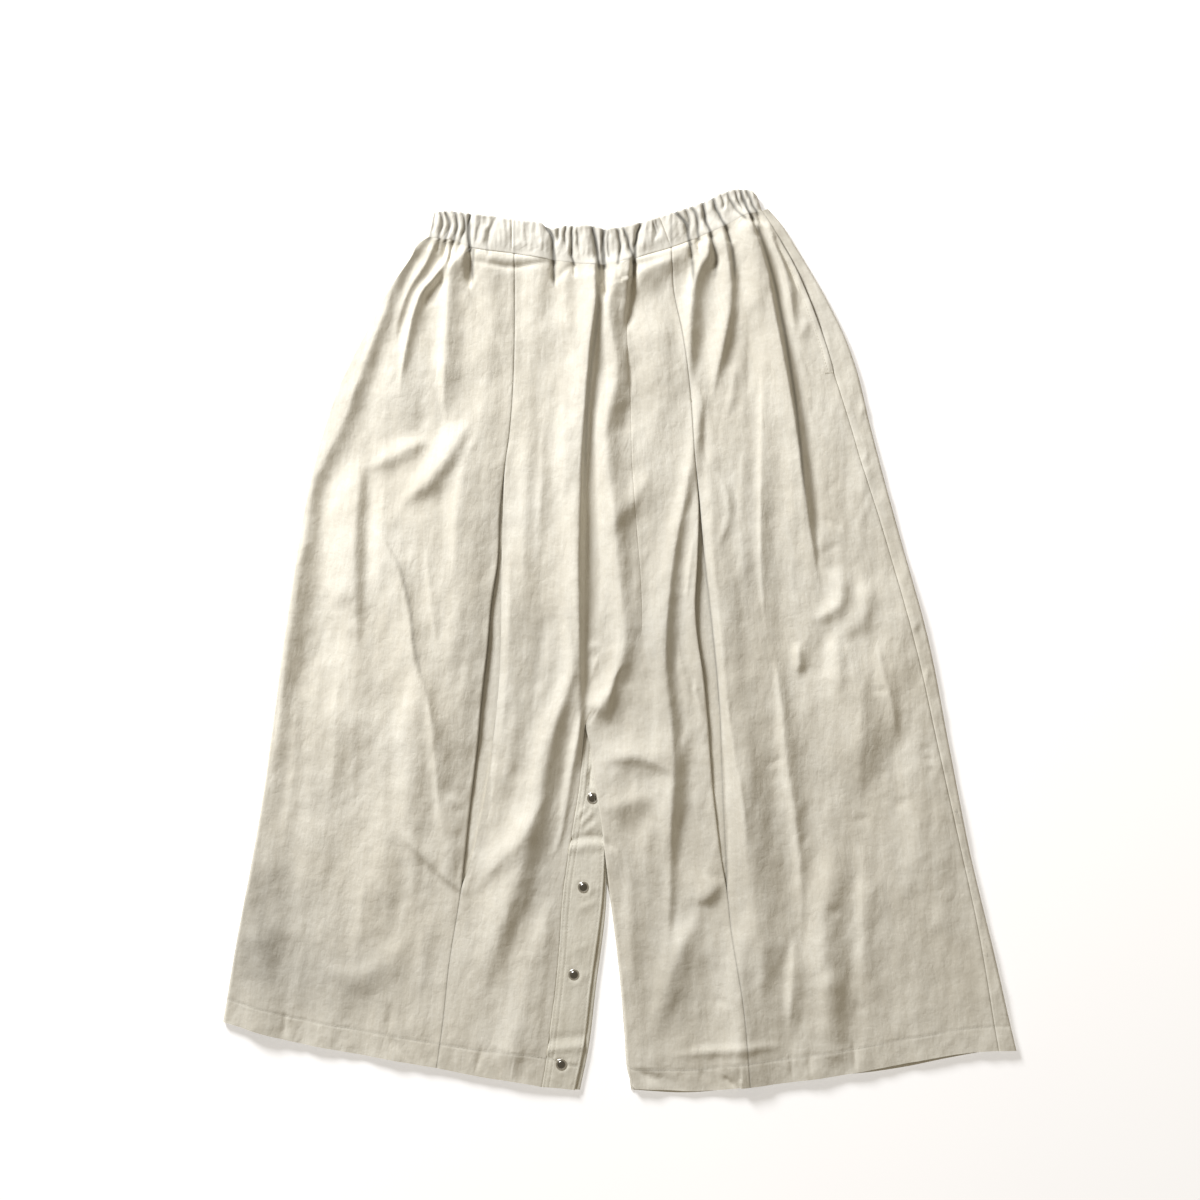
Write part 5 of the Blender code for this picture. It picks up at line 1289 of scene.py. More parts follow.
def placket_height(x, y, seam_x, edge_x):
    """The front strip's outer face: level with the front, lower where the left leg covers its top,
    with its creases, a groove along each row of stitches, and the cloth drawn up at each snap."""
    z = FRONT_HEIGHT - PLACKET_DIP * ease(*PLACKET_RISE, y) + fold_relief(PLACKET_FOLDS, x, y)
    z += PLACKET_SWELL * swell(x, y, PLACKET_CALM)
    for inset in PLACKET_STITCHES:
        z -= PLACKET_GROOVE * np.exp(-(((x - seam_x - inset) / GROOVE_REACH) ** 2))
    z -= PLACKET_EDGE_GROOVE * np.exp(-(((edge_x - x - PLACKET_EDGE_STITCH) / GROOVE_REACH) ** 2))
    for snap_x, snap_y in SNAPS:
        distance = np.hypot(x - snap_x, y - snap_y)
        z += SNAP_DRAWN * np.exp(-(((distance - SNAP_RADIUS - SNAP_RING) / SNAP_RING_REACH) ** 2))
        z -= SNAP_PULL * np.exp(-((distance / SNAP_RADIUS) ** 4))
    return z


def placket_front():
    """From the crotch to the hem, between the placket seam and its free edge."""
    left, right = line(CENTRE_FRONT, "left"), line(PLACKET_EDGE, "left")
    shown = (ROWS * LENGTH >= CROTCH - 2.0)[:, 0]
    x, y, from_left, from_right = panel_grid(left, right, PLACKET_COLUMNS, RIGHT_HEM)
    z = placket_height(x, y, left[0], right[0]) + seam_relief(from_left, y, PLACKET_SEAM_DEPTH, 23)
    z -= PLACKET_EDGE_FALL * rolled(from_right, PLACKET_ROUND)
    wear = wear_near(from_left, from_right, abs(along(RIGHT_HEM, x) - y))
    outer = on_board(x, y, z)[shown]
    return shell("placket_front_strip", outer, upright(outer.shape[:2]), PLACKET_CLOTH, wear[shown])


def placket_under():
    """The strip under it, which shows as a line beyond the front strip's edge."""
    left = line(CENTRE_FRONT, "left")
    right = line(PLACKET_EDGE, "right")
    shown = (left[1] > UNDER_PLACKET_TOP)[:, 0]
    share = np.linspace(0.0, 1.0, PLACKET_COLUMNS)[None, :]
    start = left[0] + UNDER_PLACKET_STEP
    x = (start + (right[0] - start) * share)[shown]
    y = row_y(start + (right[0] - start) * share, left, right, RIGHT_HEM)[shown]
    from_edge = right[0][shown] - x
    z = HEM_CLOTH + LAYER_GAP + PLACKET_CLOTH - UNDER_EDGE_FALL * rolled(from_edge, PLACKET_ROUND)
    wear = wear_near(from_edge)
    return shell("placket_under_strip", on_board(x, y, z), upright(x.shape), PLACKET_CLOTH, wear)


placket_front()
placket_under()

# %% [markdown]
# ## The gathered waistband
#
# The casing is one long strip folded over elastic. Stretched, it would be half as long again, so at
# rest it bunches into rolls with sharp valleys between them, close together where the elastic pulls
# most and far apart beside the front seams. The rolls lean, and each valley nicks the top edge.

# %% Waistband
BAND_CLOTH = 3.4
BAND_HEIGHT = 11.3
LOWEST_BAND = 6.6
BAND_ROLL = 7.0
BAND_NOTCH = 0.2
BAND_STEP = 0.6
BAND_ROWS = 34
BAND_TOP_FALL, BAND_TOP_ROUND = 2.8, 2.6
BAND_JOIN = 7.0
BAND_CRINKLE, CRINKLE_ACROSS, CRINKLE_ALONG = 1.3, 4.6, 13.0
BAND_SWELL, BAND_CALM = 0.7, 0.3
BAND_SEAM_FALL, BAND_SEAM_ROUND = 0.6, 1.6
BACK_BAND_SHARE = 0.97
RIGHT_BAND_SEAM, LEFT_BAND_SEAM = 512.0, 671.0
BAND_SEAM_GROOVE, BAND_SEAM_REACH = 1.8, 0.9
BAND_TOP_LOWER, BAND_LEAST_WALL = 1.4, 0.4
BAND_RIPPLES = fold_table(
    ("ripple", [(503, 220), (505, 236), (504, 252)], 5, 4, 0.9),
    ("ripple", [(520, 224), (524, 238), (520, 254)], 4, 4, 0.9),
    ("ripple", [(538, 226), (542, 240), (540, 256)], 5, 4, 1.0),
    ("ripple", [(478, 218), (482, 234), (480, 250)], 4, 4, 1.2),
    ("ripple", [(585, 228), (587, 246), (586, 264)], 4, 4, 1.2),
    ("ripple", [(646, 222), (644, 238), (642, 258)], 4, 4, 1.0),
    ("ripple", [(664, 218), (672, 232), (680, 246)], 6, 6, 0.9),
    ("ripple", [(695, 206), (703, 222), (704, 236)], 3, 3, 1.0),
)
BAND_WIDER, BAND_DEEPER = 1.2, 1.3


def band_folds():
    """The gathers as folds across the band, each a valley with a crisp floor."""
    return [Fold("gather", g.path, BAND_WIDER * g.reach, BAND_WIDER * g.reach,
                 -BAND_DEEPER * g.depth, 1.2, g.ends) for g in GATHERS]


def band_grid(lower_x, up):
    """Board x and y of the band: straight from its seam to its top edge, leaning with the gathers."""
    upper_x = along(BAND_LEAN, lower_x)
    lower_y = along(WAIST_SEAM, lower_x)
    x = lower_x + (upper_x - lower_x) * up
    return x, lower_y + (along(BAND_TOP, upper_x) - lower_y) * up


def band_front(name, start, end, free_end=None, seams=()):
    """A stretch of the casing. Across, it is a puffed strip that falls in a quarter circle to its
    seam and to its top edge; along, the gathers cut into it; a free end turns down to the back."""
    steps = round((end - start) / BAND_STEP)
    lower_x = np.linspace(start, end, steps + 1)[None, :]
    up = (0.5 - 0.5 * np.cos(np.linspace(0.0, np.pi, BAND_ROWS)))[:, None]
    x, y = band_grid(lower_x, up)
    depth = along(WAIST_SEAM, lower_x) - along(BAND_TOP, along(BAND_LEAN, lower_x))
    gathers = fold_relief(band_folds(), x + gather_wander(x, y), y)
    relief = gathers + fold_relief(BAND_RIPPLES, x, y) + BAND_SWELL * swell(x, y, BAND_CALM)
    relief = relief + BAND_CRINKLE * lattice_noise(x / CRINKLE_ACROSS, y / CRINKLE_ALONG, 37)
    for seam in seams:
        relief = relief - BAND_SEAM_GROOVE * np.exp(-(abs(lower_x - seam) / BAND_SEAM_REACH))
    top_fall = BAND_TOP_FALL * rolled((1 - up) * depth, BAND_TOP_ROUND)
    seam_fall = BAND_SEAM_FALL * seam_shown(lower_x) * rolled(up * depth, BAND_SEAM_ROUND)
    y = y - BAND_NOTCH * gathers * up**4
    panel = front_height(lower_x, along(WAIST_SEAM, lower_x), RIGHT_HEM)
    joined = np.exp(-((up * depth / BAND_JOIN) ** 2))
    body = soft_floor(BAND_HEIGHT + relief - top_fall, LOWEST_BAND - BAND_TOP_LOWER * up**6)
    z = body + (panel - body) * joined - seam_fall
    tilt = np.zeros_like(lower_x)
    lowest = BAND_CLOTH + LAYER_GAP
    if free_end is not None:
        turn = np.clip(1.0 - abs(lower_x - free_end) / BAND_ROLL, 0.0, 1.0)
        z = z - (z - lowest) * (1 - np.sqrt(1 - turn**2))
        tilt = np.arcsin(turn) * np.sign(free_end - 0.5 * (start + end))
    direction = np.stack(np.broadcast_arrays(np.sin(tilt), 0.0 * x, np.cos(tilt)), -1)
    wall = np.where(tilt == 0.0, np.minimum(BAND_CLOTH, z - lowest + BAND_LEAST_WALL), BAND_CLOTH)
    wear = wear_near((1 - up) * depth, up * depth, *[abs(lower_x - s) for s in seams])
    return shell(name, on_board(x, y, z)[::-1], direction[::-1], wall[::-1], wear[::-1])


def band_back():
    """The back of the casing, flat on the floor."""
    lower_x = np.linspace(BAND_LEAN[0][0], BAND_LEAN[-1][0], 160)[None, :]
    up = np.linspace(BACK_BAND_SHARE, 0.0, 12)[:, None]
    x, y = band_grid(lower_x, up)
    return shell("waistband_back_band", on_board(x, y, 0.0), -upright(x.shape), BAND_CLOTH, 0.0, False)


BAND_ENDS = BAND_LEAN[0][0], BAND_LEAN[-1][0]
band_front("waistband_right_band", BAND_ENDS[0], RIGHT_BAND_SEAM, BAND_ENDS[0], [RIGHT_BAND_SEAM])
band_front("waistband_centre_band", RIGHT_BAND_SEAM, LEFT_BAND_SEAM, None, [RIGHT_BAND_SEAM, LEFT_BAND_SEAM])
band_front("waistband_left_band", LEFT_BAND_SEAM, BAND_ENDS[1], BAND_ENDS[1], [LEFT_BAND_SEAM])
band_back()

# %% [markdown]
# ## Stitches
#
# Each visible row of sewing is real thread: a stitch is a short rounded bar that rises out of the
# cloth and sinks back into it. All the bars of a row are one mesh. A bartack is the same bar laid
# close together across a short line, where a pocket or a pleat would otherwise tear.

# %% Thread as small bars along a path
STITCH_STEP, STITCH_LENGTH, THREAD_RADIUS = 3.1, 2.3, 0.2
STITCH_RINGS, STITCH_SIDES = 7, 6
STITCH_SINK, STITCH_LIFT = 0.30, 0.3
TACK_STEP, TACK_WIDTH, TACK_LEAN = 0.75, 2.6, 0.25


def bars(name, middle, half, height_at):
    """Bars of thread: each runs from middle - half to middle + half on the board.

    Along a bar t goes from -1 to 1; its radius is r * sqrt(1 - 0.8 t^2) and its axis sinks by
    sink * t^2. Its rings are joined, and each end is closed by its last ring.
    """
    t = np.linspace(-1.0, 1.0, STITCH_RINGS)[None, :, None]
    turn = np.linspace(0.0, 2.0 * np.pi, STITCH_SIDES, endpoint=False)[None, None, :]
    side = half[:, ::-1] * np.array([[-1.0, 1.0]]) / np.linalg.norm(half, axis=1, keepdims=True)
    radius = THREAD_RADIUS * np.sqrt(1.0 - 0.8 * t**2)
    x, y = (middle[:, i, None, None] + half[:, i, None, None] * t
            + side[:, i, None, None] * radius * np.cos(turn) for i in (0, 1))
    base = height_at(middle[:, 0], middle[:, 1])[:, None, None]
    z = base + STITCH_LIFT * THREAD_RADIUS - STITCH_SINK * t**2 + radius * np.sin(turn)
    points = on_board(x, y, z)
    count = len(middle)
    index = np.arange(points[..., 0].size).reshape(count, STITCH_RINGS, STITCH_SIDES)
    after = np.roll(index, -1, axis=2)
    side_faces = np.stack([index[:, :-1], index[:, 1:], after[:, 1:], after[:, :-1]], -1).reshape(-1, 4)
    caps = []
    for ring, order in ((0, (0, 1, 2, 3)), (0, (0, 3, 4, 5)), (-1, (3, 2, 1, 0)), (-1, (5, 4, 3, 0))):
        caps.append(index[:, ring][:, list(order)])
    return make_mesh(name, points.reshape(-1, 3), np.concatenate([side_faces, *caps]))


def along_path(path_x, path_y, step):
    """Points and unit directions at even steps along a path."""
    length = length_along(path_x, path_y)
    at = np.arange(step / 2, length[-1], step)
    middle, ahead, back = (np.stack([np.interp(place, length, path_x), np.interp(place, length, path_y)], -1)
                           for place in (at, at + 0.5, at - 0.5))
    way = ahead - back
    return middle, way / np.linalg.norm(way, axis=1, keepdims=True)


def stitch_row(name, path_x, path_y, height_at):
    """Running stitches along a path."""
    middle, way = along_path(path_x, path_y, STITCH_STEP)
    return bars(name, middle, way * STITCH_LENGTH / 2, height_at)


def bartack(name, path_x, path_y, height_at):
    """Close stitches across a short path, alternately leaning one way and the other."""
    middle, way = along_path(path_x, path_y, TACK_STEP)
    lean = np.where(np.arange(len(middle)) % 2, TACK_LEAN, -TACK_LEAN)[:, None]
    across = np.stack([-way[:, 1], way[:, 0]], -1) + lean * way
    return bars(name, middle, across * TACK_WIDTH / 2, height_at)


def right_front_height(x, y):
    """The right leg's face at a stitch."""
    return front_height(x, y, RIGHT_HEM)


def left_front_height(x, y):
    """The left leg's face at a stitch."""
    return front_height(x, y, LEFT_HEM, LEFT_LEG_FOLDS)


def pocket_edge_height(x, y):
    """The face beside the pocket's mouth, where the stitches lie a little prouder."""
    return front_height(x, y, LEFT_HEM, [*LEFT_LEG_FOLDS, *POCKET_FOLDS]) + 0.15


# %% The rows of sewing
right_hem_x = np.linspace(229.0, 545.0, 400)
left_hem_x = np.linspace(627.0, 995.0, 400)
stitch_row("right_hem_stitches", right_hem_x, along(RIGHT_HEM, right_hem_x) - HEM_DEPTH, right_front_height)
stitch_row("left_hem_stitches", left_hem_x, along(LEFT_HEM, left_hem_x) - HEM_DEPTH, left_front_height)

pocket_y = np.linspace(POCKET_TOP + 4.0, POCKET_FOOT - 2.0, 200)
pocket_x = sewn_x(SIDE_SEAM, pocket_y) - POCKET_STITCH
stitch_row("pocket_stitches", pocket_x, pocket_y, pocket_edge_height)
bartack("pocket_tack", np.array([824.5, 833.0]), np.array([373.5, 372.5]), pocket_edge_height)
bartack("left_pleat_tack", np.array([689.0, 691.0]), np.array([398.0, 402.0]), left_front_height)

placket_y = np.linspace(724.0, 1086.0, 300)
placket_seam_x, placket_edge_x = sewn_x(CENTRE_FRONT, placket_y), sewn_x(PLACKET_EDGE, placket_y)


def placket_stitch_height(x, y):
    """The front strip's face at a stitch, from the widths of the strip at that y."""
    return placket_height(x, y, sewn_x(CENTRE_FRONT, y), sewn_x(PLACKET_EDGE, y))


for number, inset in enumerate(PLACKET_STITCHES, start=1):
    stitch_row(f"placket_stitches_{number}", placket_seam_x + inset, placket_y, placket_stitch_height)
stitch_row("placket_edge_stitches", placket_edge_x - PLACKET_EDGE_STITCH, placket_y, placket_stitch_height)
print("rows of sewing:", sum("stitches" in name or "tack" in name for name in PIECES))

# %% [markdown]
# ## Snaps
#
# A snap's cap is pressed from sheet metal: a nearly flat face, a rounded shoulder and a thin rim
# against the cloth. It is a turned form, so its grid is a profile carried round a circle.

# %% Snap caps
SNAP_FOOT = FRONT_HEIGHT - 0.9
SNAP_SIDES = 56
PAINTED_HIGHLIGHT_FROM, PAINTED_HIGHLIGHT_BLEND = 0.64, 0.12
SNAP_PROFILE = [
    (0.0, 2.45), (0.12, 2.43), (0.24, 2.35), (0.36, 2.21), (0.47, 1.99), (0.56, 1.70), (0.62, 1.44),
    (0.66, 1.30), (0.70, 1.27), (0.76, 1.42), (0.83, 1.58), (0.90, 1.55), (0.96, 1.34), (1.0, 1.0),
    (0.985, 0.6), (0.95, 0.2), (0.0, 0.2),
]


def snap_cap(number, centre):
    """The profile (share of the radius, height) turned about the snap's own axis."""
    share, height = np.array(SNAP_PROFILE).T
    radius = share[:, None] * SNAP_RADIUS
    turn = np.linspace(0.0, 2.0 * np.pi, SNAP_SIDES, endpoint=False)[None, :]
    foot = SNAP_FOOT - PLACKET_DIP * ease(*PLACKET_RISE, centre[1])
    x, y = centre[0] + radius * np.cos(turn), centre[1] - radius * np.sin(turn)
    points = on_board(x, y, foot + height[:, None])
    index = np.arange(points[..., 0].size).reshape(len(share), SNAP_SIDES)
    after = np.roll(index, -1, axis=1)
    quads = np.stack([index[:-1], index[1:], after[1:], after[:-1]], -1).reshape(-1, 4)
    # The rim mask marks the bright rim, a painted highlight.
    rim = np.broadcast_to(np.clip((share[:, None] - PAINTED_HIGHLIGHT_FROM) / PAINTED_HIGHLIGHT_BLEND, 0.0, 1.0), index.shape)
    piece = make_mesh(f"snap_{number}", points.reshape(-1, 3), quads, None, {"rim": rim.ravel()})
    work = bmesh.new()
    work.from_mesh(piece.data)
    bmesh.ops.remove_doubles(work, verts=work.verts[:], dist=1e-6)
    bmesh.ops.recalc_face_normals(work, faces=work.faces[:])
    work.to_mesh(piece.data)
    work.free()
    return piece


for number, centre in enumerate(SNAPS, start=1):
    snap_cap(number, centre)
print("snaps:", len(SNAPS))

# %% [markdown]
# ## Materials
#
# Washed cotton twill is matt, with fine diagonal ribs, yarns of uneven thickness, soft blotches where
# the dye-free cotton has taken the wash differently, and a short nap that lightens at a low angle.
# Three effects are shared by all the cloth, so each is a node group: the weave, the wash, which also
# multiplies the colour by the painted light and shade, and the creasing that is too fine to model. A
# group gives only values and colours; the sheen and the other constants are set on each shader's own
# sockets.

# %% A small kit for node groups
CLOTH_UV = "cloth"


def new_group(name, inputs, outputs):
    """A shader node group with float, vector or colour sockets, and its two end nodes."""
    group = bpy.data.node_groups.new(name, "ShaderNodeTree")
    for in_out, sockets in (("INPUT", inputs), ("OUTPUT", outputs)):
        for label, kind, value in sockets:
            socket = group.interface.new_socket(label, in_out=in_out, socket_type=kind)
            if value is not None:
                socket.default_value = value
    return group, group.nodes.new("NodeGroupInput"), group.nodes.new("NodeGroupOutput")


def add_node(tree, kind, inputs=(), **settings):
    """A node with its settings; each input is a value, or a socket to link from."""
    node = tree.nodes.new(kind)
    for key, value in settings.items():
        setattr(node, key, value)
    for key, value in dict(inputs).items():
        if isinstance(value, bpy.types.NodeSocket):
            tree.links.new(value, node.inputs[key])
        else:
            node.inputs[key].default_value = value
    return node


def maths(tree, operation, first, second=0.0, third=0.0):
    """The result of one sum."""
    return add_node(tree, "ShaderNodeMath", {0: first, 1: second, 2: third}, operation=operation).outputs[0]


def blend_colour(tree, share, first, second):
    """The two colours mixed by the share."""
    return add_node(tree, "ShaderNodeMix", {0: share, 6: first, 7: second}, data_type="RGBA").outputs[2]


def bump(tree, strength, distance, height, **more):
    """The normal, tipped by a height."""
    inputs = {"Strength": strength, "Distance": distance, "Height": height, **more}
    return add_node(tree, "ShaderNodeBump", inputs).outputs[0]


def noise(tree, place, scale, detail, stretch=None):
    """Noise at a scale, or one that each axis is stretched by."""
    if stretch is not None:
        stretched = add_node(tree, "ShaderNodeVectorMath", {0: place, 1: stretch}, operation="MULTIPLY")
        place = stretched.outputs[0]
    inputs = {"Vector": place, "Scale": scale, "Detail": detail}
    return add_node(tree, "ShaderNodeTexNoise", inputs).outputs[0]


# %% Weave: the diagonal ribs of a twill, with uneven yarns
FLOAT, VECTOR, COLOUR = "NodeSocketFloat", "NodeSocketVector", "NodeSocketColor"


def make_weave_group():
    """Rib height = half of 1 + sin(2 pi d / pitch), with d the place across the ribs, which run 60
    degrees up from the weft; d is pushed about by noise, so that no rib is ruled straight."""
    tree, given, result = new_group(
        "twill_weave",
        [("Place", VECTOR, None), ("Pitch", FLOAT, 0.0009)],
        [("Rib", FLOAT, None)],
    )
    place = given.outputs["Place"]
    lean = math.radians(60.0)
    across = add_node(tree, "ShaderNodeVectorMath", {0: place, 1: (math.sin(lean), -math.cos(lean), 0.0)},
                      operation="DOT_PRODUCT").outputs["Value"]
    pushed = maths(tree, "MULTIPLY_ADD", noise(tree, place, 260.0, 1.0), 0.0006, across)
    turns = maths(tree, "DIVIDE", pushed, given.outputs["Pitch"])
    wave = maths(tree, "SINE", maths(tree, "MULTIPLY", turns, 2.0 * math.pi))
    tree.links.new(maths(tree, "MULTIPLY_ADD", wave, 0.5, 0.5), result.inputs["Rib"])
    return tree


WEAVE = make_weave_group()


# %% Wash: blotches, streaks along the warp, pale worn edges, and the painted light and shade
def make_wash_with_painted_light_and_shade_group():
    """Colour = painted light and shade * (ground, mixed to the shade by blotches and streaks, then to worn
    by wear).
    """
    tree, given, result = new_group(
        "wash",
        [("Place", VECTOR, None), ("Along", VECTOR, None), ("Wear", FLOAT, 0.0), ("Painted Light And Shade", FLOAT, 1.0),
         ("Ground", COLOUR, None), ("Shade", COLOUR, None), ("Worn", COLOUR, None)],
        [("Colour", COLOUR, None), ("Mottle", FLOAT, None)],
    )
    place, warp_way = given.outputs["Place"], given.outputs["Along"]
    blotch = add_node(tree, "ShaderNodeTexNoise",
                      {"Vector": place, "Scale": 11.0, "Detail": 5.0, "Roughness": 0.6}).outputs[0]
    fine = noise(tree, place, 160.0, 3.0)
    together = maths(tree, "MULTIPLY", blotch, 0.52)
    for part, share in (
        (noise(tree, warp_way, 1.0, 3.0, (120.0, 9.0, 1.0)), 0.16),
        (noise(tree, warp_way, 1.0, 3.0, (430.0, 26.0, 1.0)), 0.18),
        (fine, 0.16),
        (noise(tree, place, 620.0, 2.0), 0.20),
    ):
        together = maths(tree, "MULTIPLY_ADD", part, share, together)
    mask = add_node(tree, "ShaderNodeMapRange", {0: together, 1: 0.44, 2: 0.76},
                    interpolation_type="SMOOTHSTEP")
    ground = blend_colour(tree, mask.outputs[0], given.outputs["Ground"], given.outputs["Shade"])
    rough_wear = maths(tree, "MULTIPLY", given.outputs["Wear"], maths(tree, "MULTIPLY_ADD", fine, 0.9, 0.1))
    colour = blend_colour(tree, rough_wear, ground, given.outputs["Worn"])
    toned = add_node(tree, "ShaderNodeVectorMath", {0: colour, "Scale": given.outputs["Painted Light And Shade"]},
                     operation="SCALE")
    tree.links.new(toned.outputs[0], result.inputs["Colour"])
    tree.links.new(mask.outputs[0], result.inputs["Mottle"])
    return tree


WASH_WITH_PAINTED_LIGHT_AND_SHADE = make_wash_with_painted_light_and_shade_group()


# %% Crumple: creases too fine for the mesh
def make_crumple_group():
    """Height = two folded noises, |2 n - 1|, the wider one stretched along the warp, and a nap."""
    tree, given, result = new_group(
        "crumple", [("Place", VECTOR, None), ("Along", VECTOR, None)], [("Height", FLOAT, None)]
    )
    place, warp_way = given.outputs["Place"], given.outputs["Along"]
    folded, crushed = (
        maths(tree, "ABSOLUTE", maths(tree, "MULTIPLY_ADD", lumps, 2.0, -1.0))
        for lumps in (noise(tree, warp_way, 1.0, 3.0, (70.0, 26.0, 1.0)), noise(tree, place, 95.0, 3.0))
    )
    both = maths(tree, "MULTIPLY_ADD", crushed, 0.55, folded)
    both = maths(tree, "MULTIPLY_ADD", noise(tree, warp_way, 1.0, 3.0, (520.0, 60.0, 1.0)), 0.16, both)
    nap = noise(tree, place, 420.0, 2.0)
    tree.links.new(maths(tree, "MULTIPLY_ADD", nap, 0.05, both), result.inputs["Height"])
    return tree


CRUMPLE = make_crumple_group()
print("node groups:", len(bpy.data.node_groups))


# %% Cloth materials
Cloth = namedtuple("Cloth", "name ground shade worn")
CLOTHS = [
    Cloth("panel_twill", (0.835, 0.808, 0.728), (0.73, 0.69, 0.595), (0.85, 0.83, 0.755)),
    Cloth("band_twill", (0.83, 0.81, 0.745), (0.74, 0.71, 0.635), (0.85, 0.835, 0.785)),
    Cloth("placket_twill", (0.825, 0.8, 0.715), (0.725, 0.69, 0.59), (0.845, 0.825, 0.745)),
]
RIB_PITCH, RIB_HEIGHT, WEAVE_BUMP = 0.0009, 0.00012, 0.35
CRUMPLE_HEIGHT, CRUMPLE_BUMP = 0.0013, 0.5


def group_node(tree, group, inputs):
    """The outputs of a shared group with these inputs."""
    return add_node(tree, "ShaderNodeGroup", inputs, node_tree=group).outputs


def new_material(name):
    """A material with its node tree, its shader and the place on the object."""
    material = bpy.data.materials.new(name)
    material.use_nodes = True
    tree = material.node_tree
    place = add_node(tree, "ShaderNodeTexCoord").outputs["Object"]
    return material, tree, tree.nodes["Principled BSDF"], place


def cloth_material(cloth):
    """Matt cotton: washed colour with painted light and shade, ribs and creases as two bumps in a row, and a
    low sheen.
    """
    material, tree, shader, place = new_material(cloth.name)
    along_cloth = add_node(tree, "ShaderNodeUVMap", uv_map=CLOTH_UV).outputs[0]
    wear = add_node(tree, "ShaderNodeAttribute", attribute_name="wear").outputs["Fac"]
    # The tone mask carries the painted light and shade into the colour.
    tone = add_node(tree, "ShaderNodeAttribute", attribute_name="tone").outputs["Fac"]
    weave = group_node(tree, WEAVE, {"Place": along_cloth, "Pitch": RIB_PITCH})
    wash = group_node(tree, WASH_WITH_PAINTED_LIGHT_AND_SHADE, {
        "Place": place, "Along": along_cloth, "Wear": wear, "Painted Light And Shade": tone,
        "Ground": (*cloth.ground, 1.0), "Shade": (*cloth.shade, 1.0), "Worn": (*cloth.worn, 1.0),
    })
    crumple = group_node(tree, CRUMPLE, {"Place": place, "Along": along_cloth})
    creased = bump(tree, CRUMPLE_BUMP, CRUMPLE_HEIGHT, crumple["Height"])
    ribbed = bump(tree, WEAVE_BUMP, RIB_HEIGHT, weave["Rib"], Normal=creased)
    roughness = add_node(tree, "ShaderNodeMapRange", {0: wash["Mottle"], 3: 0.82, 4: 0.94})
    tree.links.new(wash["Colour"], shader.inputs["Base Color"])
    tree.links.new(roughness.outputs[0], shader.inputs["Roughness"])
    tree.links.new(ribbed, shader.inputs["Normal"])
    shader.inputs["Specular IOR Level"].default_value = 0.15
    shader.inputs["Sheen Weight"].default_value = 0.12
    shader.inputs["Sheen Roughness"].default_value = 0.6
    shader.inputs["Sheen Tint"].default_value = (1.0, 0.97, 0.92, 1.0)
    return material


PANEL_TWILL, BAND_TWILL, PLACKET_TWILL = (cloth_material(c) for c in CLOTHS)
print("cloth materials:", len(CLOTHS))


# %% Thread and metal
def thread_material():
    """Spun thread, a little darker than the cloth, with the fine stripes of its twist."""
    material, tree, shader, place = new_material("sewing_thread")
    inputs = {"Vector": place, "Scale": 900.0, "Distortion": 1.5}
    twist = add_node(tree, "ShaderNodeTexWave", inputs).outputs["Fac"]
    tone = blend_colour(tree, twist, (0.60, 0.57, 0.48, 1.0), (0.74, 0.71, 0.625, 1.0))
    tree.links.new(tone, shader.inputs["Base Color"])
    tree.links.new(bump(tree, 0.3, 0.00005, twist), shader.inputs["Normal"])
    shader.inputs["Roughness"].default_value = 0.6
    shader.inputs["Sheen Weight"].default_value = 0.1
    return material


def snap_material():
    """Polished nickel: the dark face is a painted reflection of a dark room, the bright rim a painted
    highlight; hairline scratches vary its gloss.
    """
    material, tree, shader, place = new_material("painted_reflection_nickel")
    rim = add_node(tree, "ShaderNodeAttribute", attribute_name="rim").outputs["Fac"]
    scratch = noise(tree, place, 1.0, 3.0, (5200.0, 600.0, 600.0))
    cloud = noise(tree, place, 420.0, 2.0)
    # The dark face colour is a painted reflection of a dark room, and the bright rim colour a painted
    # highlight.
    face = blend_colour(tree, cloud, (0.22, 0.21, 0.19, 1.0), (0.34, 0.33, 0.31, 1.0))
    colour = blend_colour(tree, rim, face, (0.88, 0.87, 0.84, 1.0))
    roughness = add_node(tree, "ShaderNodeMapRange", {0: scratch, 3: 0.14, 4: 0.34})
    tree.links.new(colour, shader.inputs["Base Color"])
    tree.links.new(roughness.outputs[0], shader.inputs["Roughness"])
    tree.links.new(bump(tree, 0.2, 0.00004, scratch), shader.inputs["Normal"])
    shader.inputs["Metallic"].default_value = 1.0
    return material


THREAD, NICKEL_WITH_PAINTED_REFLECTION = thread_material(), snap_material()

# %% [markdown]
# ## Dressing the solids
#
# Every piece takes the place of the solid whose shape it refines, moves with the one body, and says
# which finish it has.

